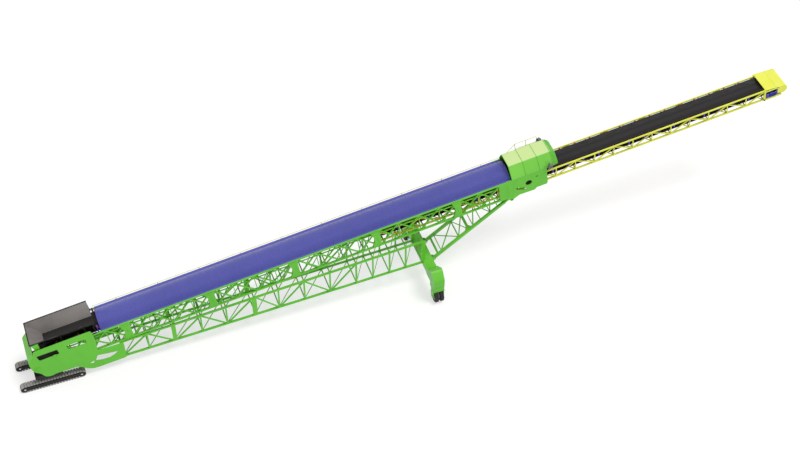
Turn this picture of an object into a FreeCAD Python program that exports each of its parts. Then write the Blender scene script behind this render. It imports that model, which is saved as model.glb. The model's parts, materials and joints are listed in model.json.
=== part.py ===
import FreeCAD, Part

import math
import os

# Tracked telescopic shiploader, at half its real size, in millimetres.
# +X runs to the discharge end, +Y to the walkway side, +Z up from the floor.
# Stations are measured forward from the rear end of the crawlers.
# The boom is drawn along its own slope: "along" runs up the conveyor from
# the luffing pin, and "above" is square to the belt.

# alias, millimetres or degrees, what it is
SIZES = (
    ("crawler_length", 2165, "overall length of a crawler"),
    ("crawler_width", 216, "width of the shoes"),
    ("crawler_height", 285, "height over the shoes"),
    ("crawler_spread", 1125, "width over both crawlers"),
    ("shoe_lug", 9, "height of a grouser"),
    ("plate_thickness", 16, "tail side plates"),
    ("tail_station", 485, "rear edge of the tail side plates"),
    ("truss_member", 50, "width of a lower truss chord"),
    ("lower_truss_width", 1100, "width over the lower truss"),
    ("axle_station", 14233, "centre of the outrigger beam"),
    ("beam_width", 350, "outrigger beam along the machine"),
    ("beam_bottom", 790, "underside of the outrigger beam"),
    ("beam_height", 250, "depth of the outrigger beam"),
    ("wheel_gauge", 3008, "between the centres of the wheel pairs"),
    ("tyre_diameter", 530, "tyre over the tread"),
    ("tyre_width", 142, "one tyre"),
    ("tyre_gap", 50, "between the two tyres of a pair"),
    ("rim_diameter", 300, "wheel rim"),
    ("column_height", 690, "outrigger column"),
    ("column_width", 390, "outrigger column along the machine"),
    ("column_depth", 330, "outrigger column across the machine"),
    ("boom_angle", 7.6, "slope of the conveyor as parked"),
    ("pin_station", 1360, "luffing pin"),
    ("pin_height", 1450, "luffing pin above the floor"),
    ("pin_radius", 45, "luffing pin"),
    ("panel_thickness", 50, "thickness of a truss side"),
    ("boom_tail", -560, "tail end of the outer boom, along it"),
    ("boom_top", 336, "top of the outer boom's upper chord"),
    ("boom_bottom", -500, "underside of the outer boom's lower chord"),
    ("chord_depth", 56, "depth of a boom chord"),
    ("first_joint", 2381, "first section joint, along the boom"),
    ("section_length", 2901, "one boom section"),
    ("head_plate_start", 15780, "rear edge of the head plates"),
    ("head_plate_end", 17290, "front edge of the head plates"),
    ("inner_width", 820, "width over the inner boom's sides"),
    ("inner_panel", 40, "thickness of an inner boom side"),
    ("inner_top", 25, "top of the inner boom's upper chord"),
    ("inner_bottom", -445, "underside of the inner boom's lower chord"),
    ("inner_chord", 44, "depth of an inner boom chord"),
    ("inner_tail", 11260, "tail end of the inner boom, along it"),
    ("inner_length", 14265, "inner boom from its tail to the head box"),
    ("head_box_length", 833, "head box of the inner boom"),
    ("head_box_width", 880, "head box of the inner boom"),
    ("belt_width", 660, "conveyor belts"),
    ("belt_thickness", 8, "conveyor belts"),
    ("drum_radius", 78, "drums of the outer belt"),
    ("outer_belt_top", 330, "carrying side of the outer belt"),
    ("inner_drum_radius", 98, "drums of the inner belt"),
    ("inner_belt_top", 42, "carrying side of the inner belt"),
    ("cover_width", 900, "belt cover over its edges"),
    ("cover_rise", 245, "height of the belt cover's crown"),
    ("cover_thickness", 12, "belt cover sheet"),
    ("cover_start", 1657, "tail end of the belt cover"),
    ("hood_start", 16013, "rear edge of the head hood"),
    ("hood_end", 17540, "front edge of the head hood"),
    ("hood_rise", 465, "height of the head hood"),
    ("hood_top_width", 604, "flat top of the head hood"),
    ("sheet_thickness", 12, "hood and hopper plates"),
    ("hopper_start", -572, "rear rim of the hopper"),
    ("hopper_end", 1505, "front end of the hopper"),
    ("hopper_width", 950, "hopper over its rims"),
    ("hopper_rim", 830, "rim of the hopper above the pin"),
    ("hopper_knee", 430, "foot of the hopper's sloped walls"),
    ("hopper_throat", 620, "between the hopper's skirts"),
    ("strut_width", 916, "lifting strut over its side tubes"),
    ("strut_tube", 90, "side tube of the lifting strut"),
    ("strut_foot_ahead", 267, "strut pin ahead of the outrigger beam's centre"),
    ("strut_foot_height", 900, "strut pin above the floor"),
    ("strut_pin_along", 15960, "upper strut pin, along the boom"),
    ("strut_pin_above", -600, "upper strut pin, below the luffing pin"),
    ("walkway_width", 340, "deck beside the outer boom"),
    ("walkway_above", -470, "deck of the walkway, below the luffing pin"),
    ("handrail_height", 500, "handrail above the deck"),
    ("rail_tube", 22, "handrail tube"),
    ("running_gap", 8, "side gap between pieces that move"),
    ("lug_bore", 22, "radius of the tie-down bores"),
)

doc = FreeCAD.newDocument("shiploader")
sheet = doc.addObject("Spreadsheet::Sheet", "Sizes")
for row, (alias, value, note) in enumerate(SIZES, 1):
    sheet.set(f"A{row}", note)
    sheet.set(f"B{row}", str(value))
    sheet.setAlias(f"B{row}", alias)
doc.recompute()


class Values:
    """The sheet's cells, read by their aliases."""

    def __getattr__(self, alias):
        return float(sheet.get(alias))


s = Values()
Vector = FreeCAD.Vector
SIDES = (("near", -1), ("far", 1))

# Frames of the machine, the boom and the strut
slope = math.radians(s.boom_angle)
pin_x = s.pin_station
pin_z = s.pin_height


def boom_point(along, above):
    """Station and height of a point given along and above the boom's slope."""
    x = pin_x + along * math.cos(slope) - above * math.sin(slope)
    z = pin_z + along * math.sin(slope) + above * math.cos(slope)
    return x, z


inner_end = s.inner_tail + s.inner_length
nose = inner_end + s.head_box_length
head_box_bottom = s.inner_belt_top - 330
overall_length = boom_point(nose, head_box_bottom)[0]
middle = overall_length / 2

machine = FreeCAD.Placement(Vector(-middle, 0, 0), FreeCAD.Rotation())
boom_turn = FreeCAD.Rotation(Vector(0, 1, 0), -s.boom_angle)
boom = FreeCAD.Placement(Vector(pin_x - middle, 0, pin_z), boom_turn)

strut_foot = (s.axle_station + s.strut_foot_ahead, s.strut_foot_height)
strut_head = boom_point(s.strut_pin_along, s.strut_pin_above)
strut_run = strut_head[0] - strut_foot[0]
strut_rise = strut_head[1] - strut_foot[1]
strut_length = math.hypot(strut_run, strut_rise)
strut_angle = math.degrees(math.atan2(strut_rise, strut_run))
strut = FreeCAD.Placement(
    Vector(strut_foot[0] - middle, 0, strut_foot[1]),
    FreeCAD.Rotation(Vector(0, 1, 0), -strut_angle),
)

parts = []


def part(name, shape, placement):
    """One named sub-part with its shape and its place."""
    feature = doc.addObject("Part::Feature", name)
    feature.Label = name
    feature.Shape = shape
    feature.Placement = placement
    parts.append(feature)
    return feature


def block(x0, x1, y0, y1, z0, z1):
    """A block between two corners."""
    return Part.makeBox(x1 - x0, y1 - y0, z1 - z0, Vector(x0, y0, z0))


def cross_block(x0, x1, half, z0, z1):
    """A block that runs across the machine, centred on it."""
    return block(x0, x1, -half, half, z0, z1)


def cross_rod(x, z, radius, y0, y1):
    """A round bar across the machine."""
    return Part.makeCylinder(radius, y1 - y0, Vector(x, y0, z), Vector(0, 1, 0))


def panel(points, holes, place, along):
    """A flat panel with polygon holes: place puts an outline's points in space."""
    wires = []
    for outline in (points, *holes):
        corners = [place(*point) for point in outline]
        wires.append(Part.makePolygon(corners + corners[:1]))
    face = Part.Face(wires[0])
    if holes:
        face = face.cut([Part.Face(wire) for wire in wires[1:]])
    return face.extrude(along).Solids[0]


def plate(points, y0, y1, holes=()):
    """An upright panel, from an outline in X and Z."""
    return panel(points, holes, lambda x, z: Vector(x, y0, z), Vector(0, y1 - y0, 0))


def flat_frame(points, z0, z1, holes=()):
    """A level panel, from an outline in X and Y."""
    return panel(points, holes, lambda x, y: Vector(x, y, z0), Vector(0, 0, z1 - z0))


def inset(corners, margins):
    """A convex outline moved in by one margin for each of its edges.

    Edge number i runs from corner i to the next one. Each new corner is where
    two neighbouring moved edges meet.
    """
    count = len(corners)
    middle_x = sum(x for x, z in corners) / count
    middle_z = sum(z for x, z in corners) / count
    lines = []
    for i, (x0, z0) in enumerate(corners):
        x1, z1 = corners[(i + 1) % count]
        length = math.hypot(x1 - x0, z1 - z0)
        nx, nz = (z0 - z1) / length, (x1 - x0) / length
        if nx * (middle_x - x0) + nz * (middle_z - z0) < 0:
            nx, nz = -nx, -nz
        lines.append((nx, nz, nx * x0 + nz * z0 + margins[i]))
    result = []
    for i in range(count):
        a0, b0, c0 = lines[i - 1]
        a1, b1, c1 = lines[i]
        turn = a0 * b1 - a1 * b0
        result.append(((c0 * b1 - c1 * b0) / turn, (a0 * c1 - a1 * c0) / turn))
    return result


def bay_holes(x0, x1, low, high, kind, post, brace):
    """Holes of one truss bay between two posts.

    low and high give the inner edges of the chords at a station. kind is
    rise or fall for one diagonal, cross for two, and open for none.
    """
    a, b = (x0, low(x0)), (x1, low(x1))
    c, d = (x1, high(x1)), (x0, high(x0))
    if kind == "open":
        return [inset([a, b, c, d], [0, post, 0, post])]
    if kind == "rise":
        return [inset([a, b, c], [0, post, brace]), inset([a, c, d], [brace, 0, post])]
    if kind == "fall":
        return [inset([a, b, d], [0, brace, post]), inset([b, c, d], [post, 0, brace])]
    share = (b[0] - a[0]) / 2
    centre = (a[0] + share, (a[1] + b[1] + c[1] + d[1]) / 4)
    return [
        inset([a, b, centre], [0, brace, brace]),
        inset([b, c, centre], [post, brace, brace]),
        inset([c, d, centre], [0, brace, brace]),
        inset([d, a, centre], [post, brace, brace]),
    ]


def level(height):
    """A chord edge that keeps one height."""
    return lambda x: height


def cross_frame(stations, half, z0, z1, rung, kind, brace):
    """Flat bracing between two sides: a rung at each station, braced between."""
    first, last = stations[0], stations[-1]
    outline = [(first, -half), (last, -half), (last, half), (first, half)]
    rail = 24
    holes = []
    for x0, x1 in zip(stations, stations[1:]):
        x0 = x0 + (rung if x0 == first else rung / 2)
        x1 = x1 - (rung if x1 == last else rung / 2)
        holes += bay_holes(x0, x1, level(rail - half), level(half - rail), kind, 0, brace)
    return flat_frame(outline, z0, z1, holes)


# Crawlers: each a fixed loop of shoes with its lugs in the outline
crawler_radius = s.crawler_height / 2
crawler_outer = s.crawler_spread / 2
crawler_inner = crawler_outer - s.crawler_width


def stadium(x0, x1, y, z, radius):
    """An outline with two straight runs and two half-round ends."""
    top = Part.LineSegment(Vector(x0, y, z + radius), Vector(x1, y, z + radius))
    bottom = Part.LineSegment(Vector(x1, y, z - radius), Vector(x0, y, z - radius))
    front = Part.Arc(top.EndPoint, Vector(x1 + radius, y, z), bottom.StartPoint)
    rear = Part.Arc(bottom.EndPoint, Vector(x0 - radius, y, z), top.StartPoint)
    return Part.Wire([edge.toShape() for edge in (top, front, bottom, rear)])


def loop(x0, x1, z, radius, thickness, y0, y1):
    """A closed band round two half-round ends, such as a belt."""
    outer = Part.Face(stadium(x0, x1, y0, z, radius))
    inner = Part.Face(stadium(x0, x1, y0, z, radius - thickness))
    return outer.cut(inner).extrude(Vector(0, y1 - y0, 0)).Solids[0]


shoe_thickness = 22
shoe_radius = crawler_radius - s.shoe_lug
hub_rear = crawler_radius
hub_front = s.crawler_length - crawler_radius
shoe_run = hub_front - hub_rear
shoe_count = 36
loop_length = 2 * shoe_run + 2 * math.pi * shoe_radius
lug_length = 14


def on_crawler(distance):
    """Point and outward angle at a distance round the shoes' outer face."""
    distance %= loop_length
    turn = math.pi * shoe_radius
    if distance < shoe_run:
        return hub_rear + distance, crawler_radius + shoe_radius, 90
    distance -= shoe_run
    if distance < turn:
        angle = 90 - math.degrees(distance / shoe_radius)
        centre = hub_front
    elif distance < turn + shoe_run:
        return hub_front - (distance - turn), crawler_radius - shoe_radius, -90
    else:
        angle = -90 - math.degrees((distance - turn - shoe_run) / shoe_radius)
        centre = hub_rear
    bearing = math.radians(angle)
    x = centre + shoe_radius * math.cos(bearing)
    z = crawler_radius + shoe_radius * math.sin(bearing)
    return x, z, angle


def crawler(y0, y1):
    """The loop of shoes with a grouser on each."""
    band = loop(hub_rear, hub_front, crawler_radius, shoe_radius, shoe_thickness, y0, y1)
    lugs = []
    first_lug = shoe_run + math.pi * shoe_radius / 2
    for number in range(shoe_count):
        x, z, angle = on_crawler(first_lug + number * loop_length / shoe_count)
        lug = block(-6, s.shoe_lug, y0, y1, -lug_length / 2, lug_length / 2)
        lug.rotate(Vector(0, 0, 0), Vector(0, 1, 0), -angle)
        lug.translate(Vector(x, 0, z))
        lugs.append(lug)
    return band.fuse(lugs).removeSplitter().Solids[0]


frame_clear = 0.3
frame_half_height = shoe_radius - shoe_thickness - frame_clear
for side, sign in SIDES:
    y0, y1 = sorted((sign * crawler_inner, sign * crawler_outer))
    part(f"crawler_{side}", crawler(y0, y1), machine)
    # Roller frame with its sprocket and idler, inside the loop
    y0, y1 = y0 + 12, y1 - 12
    beam = block(hub_rear, hub_front, y0, y1, crawler_radius - 70, crawler_radius + 70)
    wheels = []
    for hub in (hub_rear, hub_front):
        wheels.append(cross_rod(hub, crawler_radius, frame_half_height, y0, y1))
    part(f"crawler_frame_{side}", beam.fuse(wheels).removeSplitter(), machine)

# Cross beam and pedestal that carry the tail on the crawlers
pedestal_rear = 560
pedestal_front = 1460
carrier_top = 560
tail_inside = s.lower_truss_width / 2
tail_half = tail_inside + s.plate_thickness
carrier = cross_block(pedestal_rear, pedestal_front, crawler_inner + 12, 95, 200)
pedestal = cross_block(pedestal_rear + 60, pedestal_front - 60, 330, 200, 470)
bolster = cross_block(pedestal_rear, pedestal_front, tail_inside, 470, 640)
part("crawler_cross_beam", carrier.fuse([pedestal, bolster]).removeSplitter(), machine)

# Tail side plates, cut from one outline, with two slots and the front window
tail = s.tail_station
side_outline = [
    (tail, 1430), (tail + 33, 1144), (tail + 104, 919), (tail + 290, 776),
    (tail + 400, 570), (tail + 506, 519), (tail + 640, 519), (tail + 740, 566),
    (tail + 1420, 606), (tail + 1560, 560), (tail + 1773, 365), (tail + 1960, 286),
    (tail + 2170, 290), (tail + 3086, 400), (tail + 3086, 1180), (tail + 2225, 1140),
    (tail + 2225, 1600), (tail + 2201, 1920), (tail + 2145, 2182), (tail + 2065, 2192),
    (tail + 235, 1937), (tail + 200, 1690),
]
side_holes = [
    [(tail + 293, 1671), (tail + 982, 1749), (tail + 1030, 1520), (tail + 366, 1420)],
    [(tail + 1286, 1803), (tail + 1915, 1883), (tail + 1940, 1680), (tail + 1339, 1600)],
    [(tail + 2110, 560), (tail + 2330, 590), (tail + 2330, 1010), (tail + 2280, 1010)],
    [(tail + 2400, 590), (tail + 2900, 640), (tail + 2980, 1060), (tail + 2400, 1010)],
]
for side, sign in SIDES:
    y0, y1 = sorted((sign * tail_inside, sign * tail_half))
    part(f"side_plate_{side}", plate(side_outline, y0, y1, side_holes), machine)

# Rear panel between the side plates, sloped at its top, with its slot
panel_outline = [
    (tail + 2, 1430), (tail + 200, 1688), (tail + 216, 1676), (tail + 20, 1420),
    (tail + 52, 1150), (tail + 38, 1144),
]
rear_panel = plate(panel_outline, -tail_inside, tail_inside)
part("rear_panel", rear_panel, machine)

# Power pack between the side plates, as one plain block on the bolster
part("power_pack", cross_block(760, 1700, 400, 640, 850), machine)

# Lower truss: two flat sides, deeper towards the outrigger beam
# station of each post, half width of the post
lower_posts = (
    (3468, 25), (4360, 25), (5251, 70), (6188, 25), (7063, 25), (8040, 80),
    (8888, 25), (9790, 25), (10703, 25), (11638, 28), (12236, 22), (12837, 25),
    (13422, 25), (14033, 25),
)
lower_kinds = (
    "rise", "fall", "rise", "fall", "rise", "fall", "rise", "fall", "rise",
    "open", "open", "open", "open",
)


def lower_bottom(x):
    """Underside of the lower truss at a station."""
    return 243 + 0.0495 * x


def lower_top(x):
    """Top of the lower truss at a station."""
    return 924 + 0.0804 * x


lower_end = s.axle_station - s.beam_width / 2
lower_start = lower_posts[0][0]
truss_half = s.lower_truss_width / 2
truss_inside = truss_half - s.panel_thickness
chord = s.truss_member


def lower_truss_side(y0, y1):
    """One flat side of the lower truss, posts and diagonals in one plane."""
    outline = [
        (lower_start, lower_bottom(lower_start)), (lower_end, lower_bottom(lower_end)),
        (lower_end, lower_top(lower_end)), (lower_start, lower_top(lower_start)),
    ]
    holes = []
    for number, kind in enumerate(lower_kinds):
        x0, half0 = lower_posts[number]
        x1, half1 = lower_posts[number + 1]
        holes += bay_holes(
            x0 + half0, x1 - half1, lambda x: lower_bottom(x) + chord,
            lambda x: lower_top(x) - chord, kind, 0, 16,
        )
    return plate(outline, y0, y1, holes)


for side, sign in SIDES:
    y0, y1 = sorted((sign * truss_inside, sign * truss_half))
    part(f"lower_truss_{side}", lower_truss_side(y0, y1), machine)


def sloping(x, edge):
    """The frame that lies along a chord edge, from one station of it."""
    rise = math.degrees(math.atan2(edge(lower_end) - edge(x), lower_end - x))
    return FreeCAD.Placement(
        Vector(x - middle, 0, edge(x)), FreeCAD.Rotation(Vector(0, 1, 0), -rise)
    )


for name, edge, z0, z1 in (("floor", lower_bottom, 8, 42), ("top", lower_top, -42, -8)):
    run = math.hypot(lower_end - lower_start, edge(lower_end) - edge(lower_start))
    stretch = run / (lower_end - lower_start)
    stations = [(x - lower_start) * stretch for x, half in lower_posts[:-1]] + [run - 12]
    frame = cross_frame(stations, truss_inside, z0, z1, 40, "rise", 9)
    part(f"lower_truss_{name}", frame, sloping(lower_start, edge))

# Outrigger beam across the front of the lower truss, with its end columns
beam_top = s.beam_bottom + s.beam_height
beam_rear = s.axle_station - s.beam_width / 2
beam_front = s.axle_station + s.beam_width / 2
wheel_y = s.wheel_gauge / 2
column_inner = wheel_y - s.column_depth / 2
beam = cross_block(beam_rear, beam_front, column_inner, s.beam_bottom, beam_top)
posts = []
for sign in (-1, 1):
    y0, y1 = sorted((sign * truss_inside, sign * truss_half))
    posts.append(block(beam_rear, beam_rear + 60, y0, y1, beam_top, lower_top(beam_rear)))
part("outrigger_beam", beam.fuse(posts).removeSplitter(), machine)

fork_gap = 30
king_pin = 60
king_length = 160
bore_gap = 0.05
fork_top = s.tyre_diameter + fork_gap + 24
column_bottom = fork_top + s.running_gap
column_top = column_bottom + s.column_height
for side, sign in SIDES:
    y0 = sign * wheel_y - s.column_depth / 2
    y1 = y0 + s.column_depth
    x0 = s.axle_station - s.column_width / 2
    x1 = x0 + s.column_width
    column = block(x0, x1, y0, y1, column_bottom, column_top)
    bore = Part.makeCylinder(
        king_pin + bore_gap, king_length, Vector(s.axle_station, sign * wheel_y, column_bottom)
    )
    part(f"outrigger_column_{side}", column.cut(bore), machine)

# Strut foot lugs on the front of the beam
lugs = []
strut_half = s.strut_width / 2
for sign in (-1, 1):
    for offset in (-s.strut_tube / 2 - 24 - s.running_gap, s.strut_tube / 2 + s.running_gap):
        y0 = sign * (strut_half - s.strut_tube / 2) + offset
        lug = plate(
            [(beam_front, s.beam_bottom + 20), (strut_foot[0] + 10, strut_foot[1] - 60),
             (strut_foot[0] + 60, strut_foot[1]), (strut_foot[0] + 10, strut_foot[1] + 60),
             (beam_front, beam_top - 20)],
            y0, y0 + 24,
        )
        lugs.append(lug)
foot_pin = 26
pins = []
for number, sign in enumerate((-1, 1)):
    centre = sign * (strut_half - s.strut_tube / 2)
    reach = s.strut_tube / 2 + s.running_gap + 24
    pins.append(cross_rod(*strut_foot, foot_pin, centre - reach, centre + reach))
seats = [lug.cut(pins[0]).cut(pins[1]) for lug in lugs]
part("strut_foot_lugs", Part.makeCompound([seat.Solids[0] for seat in seats]), machine)
part("strut_foot_pins", Part.makeCompound(pins), machine)

# Wheel forks and twin wheels, axle along the machine for swinging round
tyre_radius = s.tyre_diameter / 2
pair_half = s.tyre_width + s.tyre_gap / 2
cheek = 22
hub_radius = 42


def tyre(x0, x1, y):
    """One tyre, turned from its section, with rounded shoulders."""
    width = x1 - x0
    shoulder = 26
    rim = s.rim_diameter / 2
    outline = [
        Vector(x0, 0, rim), Vector(x0, 0, tyre_radius - shoulder),
        Vector(x0 + shoulder / 2, 0, tyre_radius - 6), Vector(x0 + shoulder, 0, tyre_radius),
        Vector(x1 - shoulder, 0, tyre_radius), Vector(x1 - shoulder / 2, 0, tyre_radius - 6),
        Vector(x1, 0, tyre_radius - shoulder), Vector(x1, 0, rim),
    ]
    face = Part.Face(Part.makePolygon(outline + outline[:1]))
    ring = face.revolve(Vector(0, 0, 0), Vector(1, 0, 0), 360)
    ring.translate(Vector(0, y, tyre_radius))
    return ring.Solids[0]


for side, sign in SIDES:
    y = sign * wheel_y
    x = s.axle_station
    crown = block(
        x - pair_half - cheek - 10, x + pair_half + cheek + 10,
        y - 150, y + 150, fork_top - 24, fork_top,
    )
    legs = []
    for end in (-1, 1):
        x0, x1 = sorted((x + end * (pair_half + 10), x + end * (pair_half + 10 + cheek)))
        leg = block(x0, x1, y - 110, y + 110, tyre_radius, fork_top - 24)
        foot = Part.makeCylinder(110, cheek, Vector(x0, y, tyre_radius), Vector(1, 0, 0))
        legs += [leg, foot]
    swivel = Part.makeCylinder(king_pin, s.running_gap + king_length - 10, Vector(x, y, fork_top))
    fork = crown.fuse(legs + [swivel]).removeSplitter()
    bore = Part.makeCylinder(
        hub_radius + bore_gap, 2 * pair_half + 200,
        Vector(x - pair_half - 100, y, tyre_radius), Vector(1, 0, 0),
    )
    part(f"wheel_fork_{side}", fork.cut(bore), machine)
    tyres = [
        tyre(x - pair_half, x - pair_half + s.tyre_width, y),
        tyre(x + pair_half - s.tyre_width, x + pair_half, y),
    ]
    part(f"tyres_{side}", Part.makeCompound(tyres), machine)
    rims = Part.makeCylinder(
        s.rim_diameter / 2, 2 * pair_half - 20,
        Vector(x - pair_half + 10, y, tyre_radius), Vector(1, 0, 0),
    )
    axle = Part.makeCylinder(
        hub_radius, 2 * pair_half + 2 * (cheek + 14),
        Vector(x - pair_half - cheek - 14, y, tyre_radius), Vector(1, 0, 0),
    )
    part(f"wheel_hub_{side}", rims.fuse(axle).removeSplitter(), machine)

# Outer boom: two lattice sides with tapered gussets at the section joints
bay = s.section_length / 4
brace = 15
# The boom's sides run just inside the tail side plates
boom_side_outer = tail_inside - s.running_gap
boom_side_inner = boom_side_outer - s.panel_thickness


def boom_side(y0, y1):
    """One lattice side: crossed bays, posts, and wide gussets at the joints."""
    low = level(s.boom_bottom + s.chord_depth)
    high = level(s.boom_top - s.chord_depth)
    holes = []
    x = s.first_joint - 4 * bay + 120
    while x < s.head_plate_start - bay / 2:
        joint = round((x - s.first_joint) / bay) % 4
        x0 = x + (60 if joint == 0 else 14)
        x1 = x + bay - (60 if joint == 3 else 14)
        x += bay
        if x0 < s.boom_tail + 300:
            continue
        x1 = min(x1, s.head_plate_start - 20)
        holes += bay_holes(x0, x1, low, high, "cross", 0, brace)
    outline = [
        (s.boom_tail, s.boom_bottom + 200), (s.boom_tail + 300, s.boom_bottom),
        (s.head_plate_start, s.boom_bottom), (s.head_plate_start, s.boom_top),
        (s.boom_tail, s.boom_top),
    ]
    return plate(outline, y0, y1, holes).cut(cross_rod(0, 0, s.pin_radius, y0, y1)).Solids[0]


for side, sign in SIDES:
    y0, y1 = sorted((sign * boom_side_inner, sign * boom_side_outer))
    part(f"boom_side_{side}", boom_side(y0, y1), boom)

rungs = [s.boom_tail + 300]
while rungs[-1] + 1.5 * bay < s.head_plate_start:
    rungs.append(rungs[-1] + bay)
rungs.append(s.head_plate_start)
bottom_frame = cross_frame(
    rungs, boom_side_inner, s.boom_bottom, s.boom_bottom + 40, 40, "rise", 10
)
part("boom_bottom_frame", bottom_frame, boom)
top_frame = cross_frame(rungs, boom_side_inner, 100, 140, 40, "open", 10)
part("boom_top_frame", top_frame, boom)

# Head plates, with the round hole, the slots and the ear of the strut pin
head_thickness = 30
head_inside = boom_side_outer - head_thickness
ear = s.strut_pin_along
head_outline = [
    (s.head_plate_start, s.boom_top + 20), (s.head_plate_start, -470),
    (s.head_plate_start + 30, -531), (ear - 70, -600), (ear - 50, -650), (ear, -672),
    (ear + 50, -650), (ear + 70, -600),
    (s.head_plate_start + 470, -500), (s.head_plate_start + 1020, -520),
    (s.head_plate_start + 1100, -440), (s.head_plate_end - 40, -440),
    (s.head_plate_end, -380), (s.head_plate_end, s.boom_top + 20),
]
head_slots = [
    [(16170, -110), (16500, -280), (16530, -330), (16470, -330), (16150, -170)],
    [(16860, 90), (16960, 90), (16960, 140), (16860, 140)],
]
for side, sign in SIDES:
    y0, y1 = sorted((sign * head_inside, sign * boom_side_outer))
    head = plate(head_outline, y0, y1, head_slots)
    hole = cross_rod(16608, -62, 75, y0 - 1, y1 + 1)
    pin = cross_rod(ear, s.strut_pin_above, 30, y0 - 1, y1 + 1)
    part(f"head_plate_{side}", head.cut([hole, pin]).Solids[0], boom)

# Guide rollers on the head plates, under the inner boom's lower chords
guide_radius = 38
guide_z = s.inner_bottom - 0.3 - guide_radius
guides = []
for side, sign in SIDES:
    y0, y1 = sorted((sign * (s.inner_width / 2 - s.inner_panel), sign * head_inside))
    for x in (16450, 16850):
        guides.append(cross_rod(x, guide_z, guide_radius, y0, y1))
part("guide_rollers", Part.makeCompound(guides), boom)

# Luffing pins through the side plates and the boom's tail
for side, sign in SIDES:
    y0, y1 = sorted((sign * boom_side_inner, sign * (tail_half + 14)))
    bore = cross_rod(pin_x, pin_z, s.pin_radius + bore_gap, y0 - 1, y1 + 1)
    side_plate = doc.getObject(f"side_plate_{side}")
    cut = side_plate.Shape.copy()
    cut.Placement = FreeCAD.Placement()
    side_plate.Shape = cut.cut(bore)
    side_plate.Placement = machine
    part(f"luff_pin_{side}", cross_rod(0, 0, s.pin_radius, y0, y1), boom)

# Belt cover: an arched sheet in sections, open at both ends
cover_half = s.cover_width / 2
arch_radius = (cover_half ** 2 + s.cover_rise ** 2) / (2 * s.cover_rise)
arch_centre = s.boom_top + s.cover_rise - arch_radius


def arch(x0, x1, grow):
    """A solid segment under the cover's arch, grown outwards."""
    radius = arch_radius + grow
    half = math.sqrt(radius ** 2 - (s.boom_top - arch_centre) ** 2)
    ends = (Vector(x0, -half, s.boom_top), Vector(x0, half, s.boom_top))
    top = Part.Arc(ends[0], Vector(x0, 0, arch_centre + radius), ends[1])
    base = Part.LineSegment(ends[1], ends[0])
    face = Part.Face(Part.Wire([top.toShape(), base.toShape()]))
    return face.extrude(Vector(x1 - x0, 0, 0))


cover = arch(s.cover_start, s.hood_start - 4, 0).cut(
    arch(s.cover_start - 10, s.hood_start + 10, -s.cover_thickness)
)
flanges = []
for sign in (-1, 1):
    y0, y1 = sorted((sign * (cover_half - 14), sign * (boom_side_inner + 16)))
    x0, x1 = s.cover_start, s.hood_start - 4
    flanges.append(block(x0, x1, y0, y1, s.boom_top, s.boom_top + s.cover_thickness))
part("belt_cover", cover.fuse(flanges).removeSplitter().Solids[0], boom)

# Head hood, a bent sheet with a flat top over the transfer point
hood_base = s.boom_top + 20


def hood_section(x0, x1, grow):
    """A solid under the hood, grown outwards."""
    half = boom_side_outer + grow
    top = s.hood_top_width / 2 + grow
    corners = [
        Vector(x0, -half, hood_base), Vector(x0, -half, hood_base + 60),
        Vector(x0, -top, hood_base + s.hood_rise + grow),
        Vector(x0, top, hood_base + s.hood_rise + grow),
        Vector(x0, half, hood_base + 60), Vector(x0, half, hood_base),
    ]
    return Part.Face(Part.makePolygon(corners + corners[:1])).extrude(Vector(x1 - x0, 0, 0))


hood = hood_section(s.hood_start, s.hood_end, 0).cut(
    hood_section(s.hood_start - 10, s.hood_end + 10, -s.sheet_thickness)
)
part("head_hood", hood.Solids[0], boom)

# Hopper: flared near, far and rear walls over upright skirts, open in front
rim_half = s.hopper_width / 2
throat_half = s.hopper_throat / 2
wall = s.sheet_thickness


def hopper_wall(sign):
    """One flared side wall with its upright skirt below."""
    section = [
        (rim_half, s.hopper_rim), (rim_half - wall, s.hopper_rim),
        (throat_half, s.hopper_knee), (throat_half, s.boom_top + 10),
        (throat_half + wall, s.boom_top + 10), (throat_half + wall, s.hopper_knee),
    ]
    wall_solid = panel(
        section, (), lambda y, z: Vector(s.hopper_start, sign * y, z),
        Vector(s.hopper_end - s.hopper_start, 0, 0),
    )
    rib_outline = [
        (throat_half + wall, s.boom_top), (boom_side_outer - 4, s.boom_top),
        (boom_side_outer - 4, s.boom_top + 40), (rim_half, s.hopper_rim - 60),
        (rim_half, s.hopper_rim), (throat_half + wall, s.hopper_knee),
    ]
    ribs = []
    for number in range(4):
        x = s.hopper_start + number * (s.hopper_end - s.hopper_start - wall) / 3
        ribs.append(panel(
            rib_outline, (), lambda y, z: Vector(x, sign * y, z), Vector(wall, 0, 0)
        ))
    return wall_solid.fuse(ribs).removeSplitter().Solids[0]


for side, sign in SIDES:
    part(f"hopper_wall_{side}", hopper_wall(sign), boom)
rear_wall = Part.makePolygon([
    Vector(s.hopper_start, -rim_half + wall, s.hopper_rim),
    Vector(s.hopper_start, rim_half - wall, s.hopper_rim),
    Vector(s.hopper_start, throat_half, s.hopper_knee),
    Vector(s.hopper_start, -throat_half, s.hopper_knee),
    Vector(s.hopper_start, -rim_half + wall, s.hopper_rim),
])
part("hopper_rear", Part.Face(rear_wall).extrude(Vector(wall, 0, 0)), boom)

# Outer belt with its drums
belt_half = s.belt_width / 2
outer_loop = s.drum_radius + s.belt_thickness
outer_drum_z = s.outer_belt_top - outer_loop
tail_drum_x = s.boom_tail + 150
head_drum_x = 16900
part(
    "outer_belt",
    loop(tail_drum_x, head_drum_x, outer_drum_z, outer_loop, s.belt_thickness, -belt_half, belt_half),
    boom,
)
for name, x in (("tail", tail_drum_x), ("head", head_drum_x)):
    drum = cross_rod(x, outer_drum_z, s.drum_radius, -belt_half - 10, belt_half + 10)
    reach = boom_side_inner if name == "tail" else head_inside
    shaft = cross_rod(x, outer_drum_z, 28, -reach, reach)
    part(f"outer_{name}_drum", drum.fuse(shaft), boom)

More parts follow.
